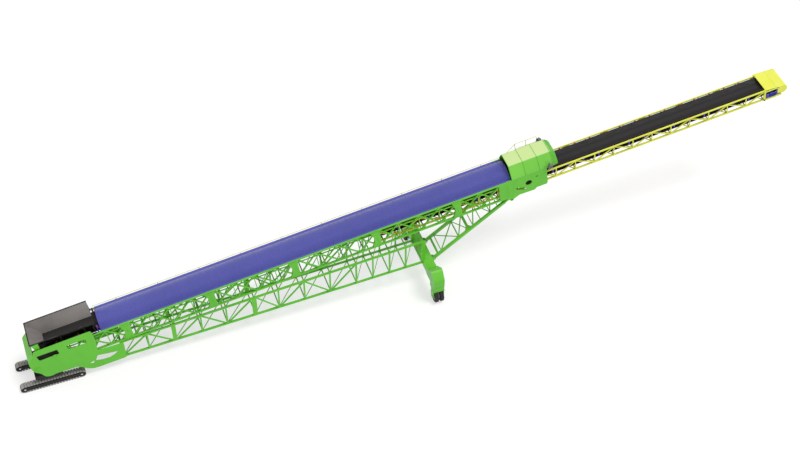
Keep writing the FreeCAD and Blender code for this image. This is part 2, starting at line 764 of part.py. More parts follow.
# Walkway beside the far side, on brackets, with its handrail
deck_z = s.walkway_above
deck_y = boom_side_outer + s.walkway_width
rail_radius = s.rail_tube / 2
rail_start = s.cover_start - 100
rail_end = s.head_plate_start - 100
rail_top = deck_z + s.handrail_height
deck = block(rail_start, rail_end, boom_side_outer, deck_y, deck_z - 10, deck_z)
brackets = []
x = s.first_joint
while x < rail_end:
    brackets.append(block(x - 20, x + 20, boom_side_outer, deck_y, deck_z - 50, deck_z - 10))
    x += s.section_length / 2
part("walkway", deck.fuse(brackets).removeSplitter(), boom)
rail_y = deck_y - rail_radius - 4
posts = []
x = s.first_joint
while x < rail_end:
    posts.append(Part.makeCylinder(rail_radius, rail_top - deck_z, Vector(x, rail_y, deck_z)))
    x += s.section_length / 2
rail = Part.makeCylinder(
    rail_radius, rail_end - rail_start, Vector(rail_start, rail_y, rail_top), Vector(1, 0, 0)
)
part("handrail", rail.fuse(posts).removeSplitter(), boom)

# Inner boom: two lattice sides, tail frame, belt, drums and head box
inner_half = s.inner_width / 2
inner_inside = inner_half - s.inner_panel
inner_bays = 20


def inner_side(y0, y1):
    """One lattice side of the inner boom, with zigzag bracing."""
    low = level(s.inner_bottom + s.inner_chord)
    high = level(s.inner_top - s.inner_chord)
    pitch = s.inner_length / inner_bays
    holes = []
    for number in range(inner_bays):
        x0 = s.inner_tail + number * pitch + 14
        kind = "rise" if number % 2 else "fall"
        holes += bay_holes(x0, x0 + pitch - 28, low, high, kind, 0, 12)
    outline = [
        (s.inner_tail, s.inner_bottom), (inner_end, s.inner_bottom),
        (inner_end, s.inner_top), (s.inner_tail, s.inner_top),
    ]
    return plate(outline, y0, y1, holes)


for side, sign in SIDES:
    y0, y1 = sorted((sign * inner_inside, sign * inner_half))
    part(f"inner_side_{side}", inner_side(y0, y1), boom)
pitch = s.inner_length / inner_bays
rungs = [s.inner_tail + number * pitch for number in range(inner_bays + 1)]
inner_frame = cross_frame(
    rungs, inner_inside, s.inner_bottom, s.inner_bottom + 36, 36, "fall", 8
)
part("inner_bottom_frame", inner_frame, boom)

inner_loop = s.inner_drum_radius + s.belt_thickness
inner_drum_z = s.inner_belt_top - inner_loop
inner_tail_drum = s.inner_tail + 160
inner_head_drum = inner_end + s.head_box_length - 260
part(
    "inner_belt",
    loop(inner_tail_drum, inner_head_drum, inner_drum_z, inner_loop, s.belt_thickness, -belt_half, belt_half),
    boom,
)
for name, x in (("tail", inner_tail_drum), ("head", inner_head_drum)):
    drum = cross_rod(x, inner_drum_z, s.inner_drum_radius, -belt_half - 8, belt_half + 8)
    shaft = cross_rod(x, inner_drum_z, 30, -inner_inside, inner_inside)
    part(f"inner_{name}_drum", drum.fuse(shaft), boom)

head_half = s.head_box_width / 2
box_outline = [
    (inner_end, head_box_bottom + 60), (inner_end, 175), (nose, 175), (nose, head_box_bottom),
]
sides = []
for sign in (-1, 1):
    y0, y1 = sorted((sign * inner_inside, sign * head_half))
    sides.append(plate(box_outline, y0, y1))
lid = cross_block(inner_end, nose, inner_inside, 163, 175)
front = cross_block(nose - 12, nose, inner_inside, head_box_bottom, 163)
part("head_box", lid.fuse(sides + [front]).removeSplitter(), boom)

# Lifting strut: a ladder frame pinned on the beam, with telescoping tubes
tube = s.strut_tube
wall_tube = 8
outer_stage = strut_length - 260
lower = []
for sign in (-1, 1):
    y = sign * (strut_half - tube / 2)
    hollow = block(-60, outer_stage, y - tube / 2, y + tube / 2, -tube / 2, tube / 2)
    core = block(
        240, outer_stage + 1, y - tube / 2 + wall_tube, y + tube / 2 - wall_tube,
        -tube / 2 + wall_tube, tube / 2 - wall_tube,
    )
    lower.append(hollow.cut(core))
rungs = []
for number in range(5):
    x = 150 + number * (outer_stage - 400) / 4
    rungs.append(cross_block(x - 25, x + 25, strut_half - tube, -25, 25))
frame = lower[0].fuse([lower[1]] + rungs).removeSplitter()
eye = cross_rod(0, 0, foot_pin + bore_gap, -strut_half - 1, strut_half + 1)
part("strut_frame", frame.cut(eye), strut)
slim = tube - 2 * wall_tube - 1
upper = []
for sign in (-1, 1):
    y = sign * (strut_half - tube / 2)
    upper.append(block(400, strut_length - 30, y - slim / 2, y + slim / 2, -slim / 2, slim / 2))
head_rod = cross_rod(strut_length, 0, 48, -boom_side_outer + 40, boom_side_outer - 40)
part("strut_slide", head_rod.fuse(upper).removeSplitter(), strut)

# Tie-down lugs at the tail and on the outrigger columns, each with one bore
for side, sign in SIDES:
    y0, y1 = sorted((sign * tail_half, sign * (tail_half + 24)))
    lug = plate(
        [(tail + 150, 1000), (tail + 300, 1000), (tail + 300, 1100), (tail + 150, 1100)], y0, y1
    )
    bore = cross_rod(tail + 200, 1050, s.lug_bore, y0 - 1, y1 + 1)
    part(f"tie_down_{side}", lug.cut(bore), machine)

doc.recompute()
faults = []
for item in doc.Objects:
    if "Invalid" in item.State or "Error" in item.State:
        faults.append(item.Label)
for item in parts:
    if item.Shape.isNull() or not item.Shape.isValid():
        faults.append(item.Label)
if faults:
    raise RuntimeError("faulty: " + ", ".join(faults))

os.makedirs("parts", exist_ok=True)
for item in parts:
    item.Shape.exportStep(f"parts/{item.Label}.step")
print(len(parts), "parts, overall length", round(overall_length))
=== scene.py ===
import json
import math

import bmesh
import bpy
import numpy as np
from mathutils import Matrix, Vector
from mathutils.geometry import tessellate_polygon

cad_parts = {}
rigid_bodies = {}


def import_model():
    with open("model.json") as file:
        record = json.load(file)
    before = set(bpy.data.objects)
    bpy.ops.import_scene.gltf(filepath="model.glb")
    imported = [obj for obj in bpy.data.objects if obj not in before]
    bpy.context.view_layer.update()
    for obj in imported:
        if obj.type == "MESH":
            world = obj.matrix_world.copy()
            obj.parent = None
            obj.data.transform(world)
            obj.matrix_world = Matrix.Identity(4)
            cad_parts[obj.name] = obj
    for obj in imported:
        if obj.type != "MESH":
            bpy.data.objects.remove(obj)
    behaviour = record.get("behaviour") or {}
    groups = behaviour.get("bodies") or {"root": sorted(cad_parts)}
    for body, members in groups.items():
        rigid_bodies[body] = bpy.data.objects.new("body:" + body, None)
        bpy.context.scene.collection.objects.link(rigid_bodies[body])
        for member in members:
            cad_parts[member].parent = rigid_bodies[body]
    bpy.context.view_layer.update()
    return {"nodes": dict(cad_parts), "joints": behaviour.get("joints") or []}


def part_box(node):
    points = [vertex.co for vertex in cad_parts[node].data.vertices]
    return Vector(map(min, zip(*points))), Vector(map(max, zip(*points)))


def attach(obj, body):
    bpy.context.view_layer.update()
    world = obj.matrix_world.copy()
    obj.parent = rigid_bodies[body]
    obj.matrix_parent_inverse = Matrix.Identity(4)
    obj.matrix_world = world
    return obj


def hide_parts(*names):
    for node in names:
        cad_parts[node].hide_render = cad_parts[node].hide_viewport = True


for leftover in list(bpy.data.objects):
    bpy.data.objects.remove(leftover)
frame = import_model()
nodes = frame["nodes"]

# Crawlers: two endless chains of pressed steel shoes, each shoe with three low
# grousers and four bolts through its chain links. Their sides are dark, worn in
# rubbed patches, and their tops are painted pale: a painted highlight of the light on them.
SHOE_RADIUS = 0.1335
CRAWLER_RADIUS = 0.1425
TRACK_HALF = 0.4545
SHOES = 48
SHOE_HALF = 0.042
SHOE_WIDE = 0.108
PLATE = 0.012
GROUSER = 0.0089
LINK_RAIL = 0.045
SIDES = (("near", -1), ("far", 1))


class Signal:
    """A node's output. Sums, differences and products of it add Math nodes."""

    def __init__(self, web, socket):
        self.web = web
        self.socket = socket

    def math(self, operation, first, second=0.0):
        return self.web.node("ShaderNodeMath", {0: first, 1: second}, operation=operation)

    def __add__(self, other):
        return self.math("ADD", self, other)

    def __sub__(self, other):
        return self.math("SUBTRACT", self, other)

    def __rsub__(self, other):
        return self.math("SUBTRACT", other, self)

    def __mul__(self, other):
        return self.math("MULTIPLY", self, other)

    def __or__(self, other):
        return self.math("MAXIMUM", self, other)

    def __abs__(self):
        return self.math("ABSOLUTE", self)

    __radd__ = __add__
    __rmul__ = __mul__

    def between(self, low, high):
        """A soft step: 0 up to low, 1 from high on."""
        return self.web.node(
            "ShaderNodeMapRange", {0: self, 1: low, 2: high}, interpolation_type="SMOOTHSTEP"
        )

    def axis(self, name):
        """One of a vector's three numbers."""
        return self.web.node("ShaderNodeSeparateXYZ", {0: self}, output=name)


class Web:
    """The nodes of one material or of the surroundings."""

    def __init__(self, owner):
        owner.use_nodes = True
        self.tree = owner.node_tree

    def node(self, kind, inputs=(), output=0, **settings):
        """Adds a node, with its settings first and then its sockets."""
        made = self.tree.nodes.new(kind)
        for name, value in settings.items():
            setattr(made, name, value)
        for name, value in dict(inputs).items():
            self.feed(made.inputs[name], value)
        return Signal(self, made.outputs[output]) if len(made.outputs) else made

    def feed(self, socket, value):
        if isinstance(value, Signal):
            self.tree.links.new(value.socket, socket)
        else:
            socket.default_value = value


class Finish(Web):
    """A material, grown node by node on the piece's own coordinates.

    Colours are screen colours, 0 to 255.
    """

    def __init__(self, name, colour, roughness, metallic=0.0, coat=0.0, specular=0.5):
        self.material = bpy.data.materials.new(name)
        super().__init__(self.material)
        self.shader = self.tree.nodes["Principled BSDF"]
        self.place = self.node("ShaderNodeTexCoord", output="Object")
        self.facing = self.node("ShaderNodeNewGeometry", output="Normal")
        self.give(
            Base_Color=shade(*colour), Roughness=roughness, Metallic=metallic,
            Coat_Weight=coat, Specular_IOR_Level=specular,
        )

    def give(self, **sockets):
        for name, value in sockets.items():
            self.feed(self.shader.inputs[name.replace("_", " ")], value)

    def noise(self, scale, detail=3.0, stretch=(1, 1, 1), turn=0.0):
        """Cloudy pattern in metres, stretched and turned about the cross axis."""
        place = self.node(
            "ShaderNodeMapping", {0: self.place, 2: (0, turn, 0), 3: stretch}
        )
        return self.node("ShaderNodeTexNoise", {0: place, 2: scale, 3: detail})

    def mix(self, share, first, second):
        """One colour fading into another."""
        tones = [tone if isinstance(tone, Signal) else shade(*tone) for tone in (first, second)]
        return self.node(
            "ShaderNodeMix", {0: share, 6: tones[0], 7: tones[1]}, output=2, data_type="RGBA"
        )

    def bump(self, height, distance, strength=1.0):
        normal = self.node(
            "ShaderNodeBump", {"Height": height, "Distance": distance, "Strength": strength}
        )
        self.give(Normal=normal)


def shade(red, green, blue):
    """A screen colour, 0 to 255, as the light it stands for."""
    parts = np.array([red, green, blue]) / 255
    return (*np.where(parts < 0.04, parts / 12.92, ((parts + 0.055) / 1.055) ** 2.4), 1.0)


def skin(rings, closed=False):
    """Points and faces of a grid: each row of points is one ring of the piece.

    Rows are joined by quads, and the two end rings are capped, or joined to
    each other when the piece is an endless loop.
    """
    rings = np.asarray(rings, float)
    index = np.arange(rings.shape[0] * rings.shape[1]).reshape(rings.shape[:2])
    after = np.roll(index, -1, axis=1)
    corners = [index, after, np.roll(after, -1, axis=0), np.roll(index, -1, axis=0)]
    if not closed:
        corners = [corner[:-1] for corner in corners]
    faces = np.stack(corners, -1).reshape(-1, 4).tolist()
    if not closed:
        faces += [index[0][::-1].tolist(), index[-1].tolist()]
    return rings.reshape(-1, 3), faces


def turned(profile, around=24, closed=False):
    """A profile of (x, radius) turned about the X axis: x, r cos t, r sin t."""
    profile = np.asarray(profile, float)
    turn = full_turn(around)
    x = np.broadcast_to(profile[:, :1], (len(profile), around))
    radius = profile[:, 1:]
    return skin(np.stack([x, radius * np.cos(turn), radius * np.sin(turn)], -1), closed)


def full_turn(count):
    """Equal steps round a circle, as angles."""
    return np.arange(count) * 2 * np.pi / count


def copies(shape, frames):
    """A shape repeated: each frame is an origin and three directions."""
    points, faces = shape
    frames = np.asarray(frames, float).reshape(-1, 4, 3)
    moved = frames[:, None, 0] + np.einsum("pa,kac->kpc", points, frames[:, 1:])
    steps = (np.arange(len(frames)) * len(points)).tolist()
    return moved.reshape(-1, 3), [[i + step for i in face] for step in steps for face in faces]


def united(*shapes):
    """Several shapes as one piece."""
    points, faces, count = [], [], 0
    for shape in shapes:
        points.append(shape[0])
        faces += [[i + count for i in face] for face in shape[1]]
        count += len(shape[0])
    return np.concatenate(points), faces


def stand(name, shapes, finish, body, slot, *stood_for):
    """Makes a piece of some shapes, and says what it rides on and stands for."""
    points, faces = united(*shapes)
    mesh = bpy.data.meshes.new(name)
    mesh.from_pydata(points.tolist(), [], faces)
    shell = bmesh.new()
    shell.from_mesh(mesh)
    bmesh.ops.recalc_face_normals(shell, faces=shell.faces)
    shell.to_mesh(mesh)
    shell.free()
    mesh.polygons.foreach_set("use_smooth", [True] * len(mesh.polygons))
    mesh.set_sharp_from_angle(angle=math.radians(32))
    made = bpy.data.objects.new(name, mesh)
    bpy.context.scene.collection.objects.link(made)
    made.data.materials.append(finish.material)
    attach(made, body)
    if stood_for:
        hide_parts(*stood_for)


rear_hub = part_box("crawler_near")[0].x + CRAWLER_RADIUS
hub_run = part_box("crawler_near")[1].x - CRAWLER_RADIUS - rear_hub
half_loop = math.pi * SHOE_RADIUS
chain_length = 2 * hub_run + 2 * half_loop


def on_track(distance, radius):
    """Point and outward direction at distances round the chain.

    Two straight runs and two half circles, measured at the shoe radius.
    """
    d = np.asarray(distance) % chain_length
    legs = [d < hub_run, d < hub_run + half_loop, d < 2 * hub_run + half_loop]
    angle = np.select(
        legs,
        [np.pi / 2 + 0 * d, np.pi / 2 - (d - hub_run) / SHOE_RADIUS, -np.pi / 2 + 0 * d],
        -np.pi / 2 - (d - 2 * hub_run - half_loop) / SHOE_RADIUS,
    )
    centre = np.select(
        legs,
        [rear_hub + d, rear_hub + hub_run + 0 * d, rear_hub + 2 * hub_run + half_loop - d],
        rear_hub,
    )
    out = np.stack([np.cos(angle), 0 * angle, np.sin(angle)], -1)
    point = np.stack([centre, 0 * angle, CRAWLER_RADIUS + 0 * angle], -1) + radius * out
    return point, out


shoe_outline = [(-SHOE_HALF, -PLATE)]
for ridge in (-0.034, 0.0, 0.034):
    for step, height in ((-0.008, 0), (-0.004, GROUSER), (0.004, GROUSER), (0.008, 0)):
        shoe_outline.append((ridge + step, height))
shoe_outline.append((SHOE_HALF, -PLATE))
shoe_rings = [
    np.insert(np.array(shoe_outline) * [shrink, 1], 1, across, axis=1)
    for across, shrink in ((-SHOE_WIDE, 0.9), (-0.1, 1), (0.1, 1), (SHOE_WIDE, 0.9))
]
bolt = turned([(0, 0.008), (0.005, 0.008), (0.0065, 0.006)], 6)
bolts = []
for x in (-0.017, 0.017):
    for y in (-0.05, 0.05):
        bolts.append([(x, y, 0), (0, 0, 1), (1, 0, 0), (0, 1, 0)])
shoe = united(skin(shoe_rings), copies(bolt, bolts))
spots = (np.arange(SHOES) + 0.5) * chain_length / SHOES
path = np.arange(160) * chain_length / 160

cast_steel = Finish("cast_track_steel", (58, 55, 53), 0.5, specular=0.08)
rubbed = cast_steel.noise(9, 5).between(0.42, 0.7)
# Upward faces are painted pale: a painted highlight of the light falling on the tops.
track_top_highlight = cast_steel.facing.axis("Z").between(0.2, 0.9)
worn = cast_steel.mix(rubbed * 0.4, (28, 25, 25), (62, 58, 56))
cast_steel.give(Base_Color=cast_steel.mix(track_top_highlight * 0.85, worn, (184, 181, 177)))
cast_steel.give(Roughness=0.62 - 0.2 * rubbed)
cast_steel.bump(cast_steel.noise(140, 4), 0.0008, 0.6)

for side, sign in SIDES:
    centre = sign * TRACK_HALF
    origin, out = on_track(spots, SHOE_RADIUS)
    forward = np.stack([out[:, 2], 0 * spots, -out[:, 0]], -1)
    across = np.tile([0.0, 1.0, 0.0], (SHOES, 1))
    inward = 0.0056 * (np.abs(out[:, 0]) > 0.05)
    origin = origin + [0, centre, 0] - inward[:, None] * out
    chain = [copies(shoe, np.stack([origin, forward, across, out], 1))]
    for rail in (-LINK_RAIL, LINK_RAIL):
        band = []
        for depth, wide in ((0.0215, -0.016), (0.0215, 0.016), (0.011, 0.016), (0.011, -0.016)):
            edge = on_track(path, SHOE_RADIUS - depth)[0]
            band.append(edge + [0, centre + rail + wide, 0])
        chain.append(skin(np.stack(band, 1), closed=True))
    stand(
        f"crawler_chain_{side}", chain, cast_steel, "chassis", "track_steel", f"crawler_{side}"
    )

# Roller frames and the cross beam between them: welded boxes in black paint,
# dusty on top, with turned hub caps of bright steel on sprocket and idler.


def two_tone(
    name, first, second, patch, rough, grain, share=1.0, stretch=(1, 1, 1), streak=(1, 1, 1),
    **given,
):
    """A finish with soft patches of a second tone over a fine grain.

    patch is the patches' scale, detail and the two levels of their edge. rough
    is the roughness and what a patch adds to it. grain is the bumps' scale,
    detail, height and strength. stretch and streak draw the two patterns out.
    """
    made = Finish(name, first, rough[0], **given)
    patches = made.noise(*patch[:2], stretch).between(*patch[2:])
    made.give(Base_Color=made.mix(share * patches, first, second))
    made.give(Roughness=rough[0] + rough[1] * patches)
    made.bump(made.noise(*grain[:2], streak), *grain[2:])
    return made


def finish_nodes(finish, *names):
    """Gives CAD nodes that keep their shape a better material."""
    for name in names:
        for held in nodes[name].material_slots:
            held.material = finish.material


def sideways(spot, side):
    """A frame at a spot, its first direction pointing out to one side."""
    return [spot, (0, side, 0), (1, 0, 0), (0, 0, 1)]


black_paint = Finish("black_frame_paint", (36, 35, 35), 0.45, coat=0.05, specular=0.12)
dust = black_paint.noise(5, 4).between(0.45, 0.75) * black_paint.facing.axis("Z").between(0, 1)
black_paint.give(Base_Color=black_paint.mix(dust * 0.6, (34, 33, 33), (105, 100, 92)))
black_paint.give(Roughness=0.4 + 0.3 * dust)
black_paint.bump(black_paint.noise(90), 0.0006, 0.4)
finish_nodes(
    black_paint, "crawler_frame_near", "crawler_frame_far", "crawler_cross_beam", "power_pack"
)
bright_steel = two_tone(
    "turned_steel", (168, 168, 166), (214, 214, 212), (40, 2, 0.3, 0.7), (0.22, 0.18),
    (400, 2, 0.0002, 0.5), stretch=(1, 8, 8), streak=(1, 0.1, 0.1), metallic=1.0,
)
cap = turned([(0, 0.036), (0.0012, 0.036), (0.0026, 0.02), (0.0034, 0.006)], 28)
caps = []
for hub in (rear_hub, rear_hub + hub_run):
    for y, out in ((-0.5585, -1), (0.5585, 1), (-0.3505, 1), (0.3505, -1)):
        caps.append(sideways((hub, y, CRAWLER_RADIUS), out))
stand("hub_caps", [copies(cap, caps)], bright_steel, "chassis", "bare_steel")

# Chassis steelwork: tail plates, rear panel, lower truss and outrigger, cut
# from plate and hollow section, welded, and sprayed in gloss green.
GREEN = (98, 196, 36)
DEEP_GREEN = (64, 156, 40)


def paint(name, colour, deep, dusty, gloss=0.32):
    """Gloss paint: clouded tone, rain streaks, dust on top and a few chips."""
    made = Finish(name, colour, gloss, coat=0.12, specular=0.3)
    cloud = made.noise(0.8, 3).between(0.3, 0.75)
    streak = made.noise(14, 4, (1, 1, 0.08)).between(0.5, 0.8)
    settled = made.facing.axis("Z").between(0.3, 1) * made.noise(3, 5).between(0.3, 0.8)
    chip = made.noise(46, 5).between(0.71, 0.74)
    tone = made.mix(cloud * 0.25, colour, deep)
    tone = made.mix(streak * 0.22, tone, deep)
    tone = made.mix(settled * 0.22, tone, dusty)
    made.give(Base_Color=made.mix(chip * 0.7, tone, (88, 92, 84)))
    made.give(Roughness=gloss + 0.2 * settled + 0.15 * chip)
    made.bump(made.noise(55, 3) - 0.8 * chip, 0.0008, 0.35)
    return made


green_paint = paint("gloss_green_paint", GREEN, DEEP_GREEN, (186, 212, 150))
finish_nodes(
    green_paint, "rear_panel", "lower_truss_near", "lower_truss_far", "lower_truss_floor",
    "lower_truss_top", "outrigger_beam", "strut_foot_lugs", "tie_down_near", "tie_down_far",
    "boom_side_near", "boom_side_far", "boom_bottom_frame", "boom_top_frame", "strut_slide",
    "wheel_fork_near", "wheel_fork_far", "luff_pin_near", "luff_pin_far",
)
finish_nodes(
    bright_steel, "strut_foot_pins", "guide_rollers", "outer_tail_drum", "outer_head_drum"
)

# Tail side plates: one plate each side, flame cut with slots and windows, its
# edges ground round, and a ring bolted on at the luffing pin. The rear slot is
# closed from behind by a near-black sheet: painted shade for the dark inside.
PLATE_IN = 0.55
PLATE_OUT = 0.566
plate_low, plate_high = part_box("side_plate_near")
joints = {joint["name"]: joint for joint in frame["joints"]}
luff_pin = np.array(joints["boom_luff"]["pos_m"], float)


def eased(outline, radius, steps=5):
    """Corners of an outline rounded, each by a short quadratic arc."""
    points = np.asarray(outline, float)
    ends = []
    for step in (1, -1):
        way = np.roll(points, step, axis=0) - points
        length = np.linalg.norm(way, axis=1, keepdims=True)
        ends.append(points + way * np.minimum(radius / length, 0.45))
    t = np.linspace(0, 1, steps)[None, :, None]
    arcs = (1 - t) ** 2 * ends[0][:, None] + 2 * t * (1 - t) * points[:, None]
    return (arcs + t ** 2 * ends[1][:, None]).reshape(-1, 2)


def circle(x, z, radius, around=28):
    """Points of a circle: x + r cos t, z + r sin t."""
    turn = full_turn(around)
    return np.stack([x + radius * np.cos(turn), z + radius * np.sin(turn)], -1)


def cut_plate(outline, holes, y0, y1):
    """A flat plate with openings, between two levels of its thickness.

    Both faces are the outline less its openings, and each edge loop is joined
    to its twin on the other face by a wall.
    """
    loops = [np.asarray(loop, float) for loop in (outline, *holes)]
    flat = np.concatenate(loops)
    lines = [list(map(Vector, np.pad(loop, ((0, 0), (0, 1))).tolist())) for loop in loops]
    face = np.array(tessellate_polygon(lines))
    count = len(flat)
    points = np.concatenate([np.insert(flat, 1, y, axis=1) for y in (y0, y1)])
    faces = face.tolist() + (face[:, ::-1] + count).tolist()
    start = 0
    for loop in loops:
        index = np.arange(start, start + len(loop))
        after = np.roll(index, -1)
        faces += np.stack([index, after, after + count, index + count], -1).tolist()
        start += len(loop)
    return points, faces


def on_plate(shares):
    """Shares of the plate's length and height as places."""
    reach = [plate_high.x - plate_low.x, plate_high.z - plate_low.z]
    return [plate_low.x, plate_low.z] + np.asarray(shares, float) * reach


tail_outline = eased(on_plate([
    (0, 0.6), (0.011, 0.45), (0.034, 0.332), (0.094, 0.257), (0.13, 0.149), (0.164, 0.122),
    (0.207, 0.122), (0.24, 0.147), (0.46, 0.168), (0.506, 0.144), (0.575, 0.041), (0.635, 0),
    (0.703, 0.002), (1, 0.06), (1, 0.469), (0.721, 0.448), (0.721, 0.689), (0.713, 0.857),
    (0.695, 0.995), (0.669, 1), (0.076, 0.866), (0.065, 0.737),
]), 0.07)
tail_cuts = [
    eased(on_plate(corners), 0.03, 4) for corners in (
        ((0.095, 0.727), (0.318, 0.768), (0.334, 0.647), (0.119, 0.595)),
        ((0.417, 0.796), (0.621, 0.838), (0.629, 0.731), (0.434, 0.689)),
        ((0.6, 0.159), (0.659, 0.207), (0.653, 0.139)),
        ((0.675, 0.196), (0.705, 0.322), (0.925, 0.283), (0.895, 0.229), (0.828, 0.174),
         (0.753, 0.17)),
    )
]
tail_cuts.append(circle(luff_pin[0], luff_pin[2], 0.0462))
# A near-black sheet behind the rear slot: painted shade for the dark inside it.
slot_shade_outline = on_plate([(0.085, 0.74), (0.335, 0.785), (0.35, 0.64), (0.105, 0.585)])
boss = turned([(0, 0.05), (0, 0.088), (0.008, 0.092), (0.014, 0.088), (0.014, 0.05)], 40, True)
boss_bolt = turned([(0, 0.009), (0.006, 0.009), (0.008, 0.007)], 6)
shade_sheets = []
for side, sign in SIDES:
    face = luff_pin + [0, sign * PLATE_OUT, 0]
    spots = []
    for turn in full_turn(10):
        spot = face + [0.07 * math.cos(turn), sign * 0.014, 0.07 * math.sin(turn)]
        spots.append(sideways(spot, sign))
    parts = [
        cut_plate(tail_outline, tail_cuts, sign * PLATE_IN, sign * PLATE_OUT),
        copies(boss, [sideways(face, sign)]), copies(boss_bolt, spots),
    ]
    stand(
        f"tail_plate_{side}", parts, green_paint, "chassis", "green_paint", f"side_plate_{side}"
    )
    shade_sheets.append(cut_plate(slot_shade_outline, [], sign * 0.5478, sign * 0.5495))
# Near-black finish for sheets that stand in for shade: painted shade.
lining_paint = two_tone(
    "lining_paint", (14, 13, 13), (44, 42, 40), (12, 4, 0.4, 0.8), (0.7, 0.0),
    (90, 3, 0.0005, 0.4), share=0.6, specular=0.1,
)
stand("slot_backs", shade_sheets, lining_paint, "chassis", "dark_steel")

# Power pack: a painted sheet box, with pressed louvres along both sides and a
# lid of two halves screwed down over it.
pack_low, pack_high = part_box("power_pack")
LID_SPLIT = -12.54
LIP = 0.004
LOUVRE = 0.13


def slab(one, other, bevel=0.0):
    """A plate or bar between two opposite corners, its four long edges eased."""
    (x0, y0, z0), (x1, y1, z1) = np.sort([one, other], axis=0)
    b = bevel
    outline = [
        (y0 + b, z0), (y1 - b, z0), (y1, z0 + b), (y1, z1 - b), (y1 - b, z1), (y0 + b, z1),
        (y0, z1 - b), (y0, z0 + b),
    ] if b else [(y0, z0), (y1, z0), (y1, z1), (y0, z1)]
    return skin([np.insert(outline, 0, x, axis=1) for x in (x0, x1)])


louvre = [(0, 0.0), (0.006, -0.006), (0.006, -0.012), (0, -0.016)]
rows = []
for sign in (-1, 1):
    for x in np.arange(pack_low.x + 0.09, pack_high.x - 0.2, 0.17):
        for z in np.arange(pack_low.z + 0.06, pack_high.z - 0.03, 0.026):
            rows.append([(x, sign * pack_high.y, z), (1, 0, 0), (0, sign, 0), (0, 0, 1)])
parts = [copies(skin([np.insert(louvre, 0, x, axis=1) for x in (0, LOUVRE)]), rows)]
for x0, x1 in ((pack_low.x - LIP, LID_SPLIT - 0.005), (LID_SPLIT + 0.005, pack_high.x + LIP)):
    y, z = pack_high.y + LIP, pack_high.z
    parts.append(slab((x0, -y, z - LIP), (x1, y, z + 2 * LIP), 0.003))
stand("power_pack_fittings", parts, black_paint, "chassis", "dark_steel")

# Outrigger columns: welded box columns with a knee towards the beam and a
# bored housing at the foot, where the king pin of the wheel fork turns.
GAUGE_HALF = 1.504
HOUSING = (1.25, 1.64)
column_low, column_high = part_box("outrigger_column_near")
axle_x = (column_low.x + column_high.x) / 2


def swapped(shape, *order):
    """A shape with its axes in another order."""
    return shape[0][:, order], shape[1]


for side, sign in SIDES:
    knee = eased([
        (0.9, 0.79), (1.25, 0.79), (1.25, 0.752), (1.64, 0.752), (1.64, 1.1), (1.6, 1.16),
        (1.45, 1.36), (1.4, 1.398), (1.326, 1.398), (0.9, 1.04),
    ], 0.02, 4) * [sign, 1]
    y0, y1 = sign * HOUSING[0], sign * HOUSING[1]
    foot = eased([(column_low.x, y0), (column_high.x, y0), (column_high.x, y1),
                  (column_low.x, y1)], 0.02, 4)
    bore = circle(axle_x, sign * GAUGE_HALF, 0.0615)
    parts = [
        swapped(cut_plate(knee, [], column_low.x, column_high.x), 1, 0, 2),
        swapped(cut_plate(foot, [bore], 0.592, 0.752), 0, 2, 1),
    ]
    stand(
        f"outrigger_knee_{side}", parts, green_paint, "chassis", "green_paint",
        f"outrigger_column_{side}",
    )

# Outrigger wheels: twin truck tyres with a ribbed and blocked tread, on
# pressed rims held by a ring of nuts round the hub.
TYRE_RADIUS = 0.265
TYRE_WIDTH = 0.142
TYRE_GAP = 0.025
BEAD = 0.1505
TREAD_BLOCKS = 44
NUT_CIRCLE = 0.085
tyre_rubber = two_tone(
    "black_tyre_rubber", (28, 27, 27), (82, 79, 75), (11, 5, 0.4, 0.75), (0.7, 0.2),
    (260, 3, 0.0005, 0.6), share=0.55,
)
w = TYRE_WIDTH
carcass = [
    (0.012, BEAD), (0.003, 0.165), (0.0, 0.19), (0.002, 0.215), (0.008, 0.235), (0.02, 0.25),
    (0.032, 0.255), (w / 2 - 0.012, 0.2565), (w / 2 - 0.009, 0.2525), (w / 2 + 0.009, 0.2525),
    (w / 2 + 0.012, 0.2565), (w - 0.032, 0.255), (w - 0.02, 0.25), (w - 0.008, 0.235),
    (w - 0.002, 0.215), (w, 0.19), (w - 0.003, 0.165), (w - 0.012, BEAD),
]
block_outline = np.array([(0.026, -0.012), (0.058, -0.016), (0.058, 0.006), (0.026, 0.01)])
block_centre = block_outline.mean(0)
block_rings = []
for height, grow in ((0.25, 1.05), (0.2625, 1.0), (0.2639, 0.9)):
    grown = block_centre + (block_outline - block_centre) * grow
    block_rings.append(np.insert(grown, 2, height, axis=1))
tread = []
for start, way, offset in ((0, 1, 0), (w, -1, math.pi / TREAD_BLOCKS)):
    for turn in full_turn(TREAD_BLOCKS) + offset:
        c, n = math.cos(turn), math.sin(turn)
        tread.append([(start, 0, 0), (way, 0, 0), (0, -n, c), (0, c, n)])
tyre = united(turned(carcass, 72, closed=True), copies(skin(block_rings), tread))
rim_grey = two_tone(
    "rim_grey_paint", (132, 134, 134), (70, 66, 60), (16, 5, 0.35, 0.8), (0.35, 0.3),
    (80, 3, 0.0005, 0.3), share=0.5, coat=0.2,
)
finish_nodes(rim_grey, "wheel_hub_near", "wheel_hub_far")
nut = turned([(0, 0.011), (0.012, 0.011), (0.015, 0.008), (0.022, 0.0045)], 6)
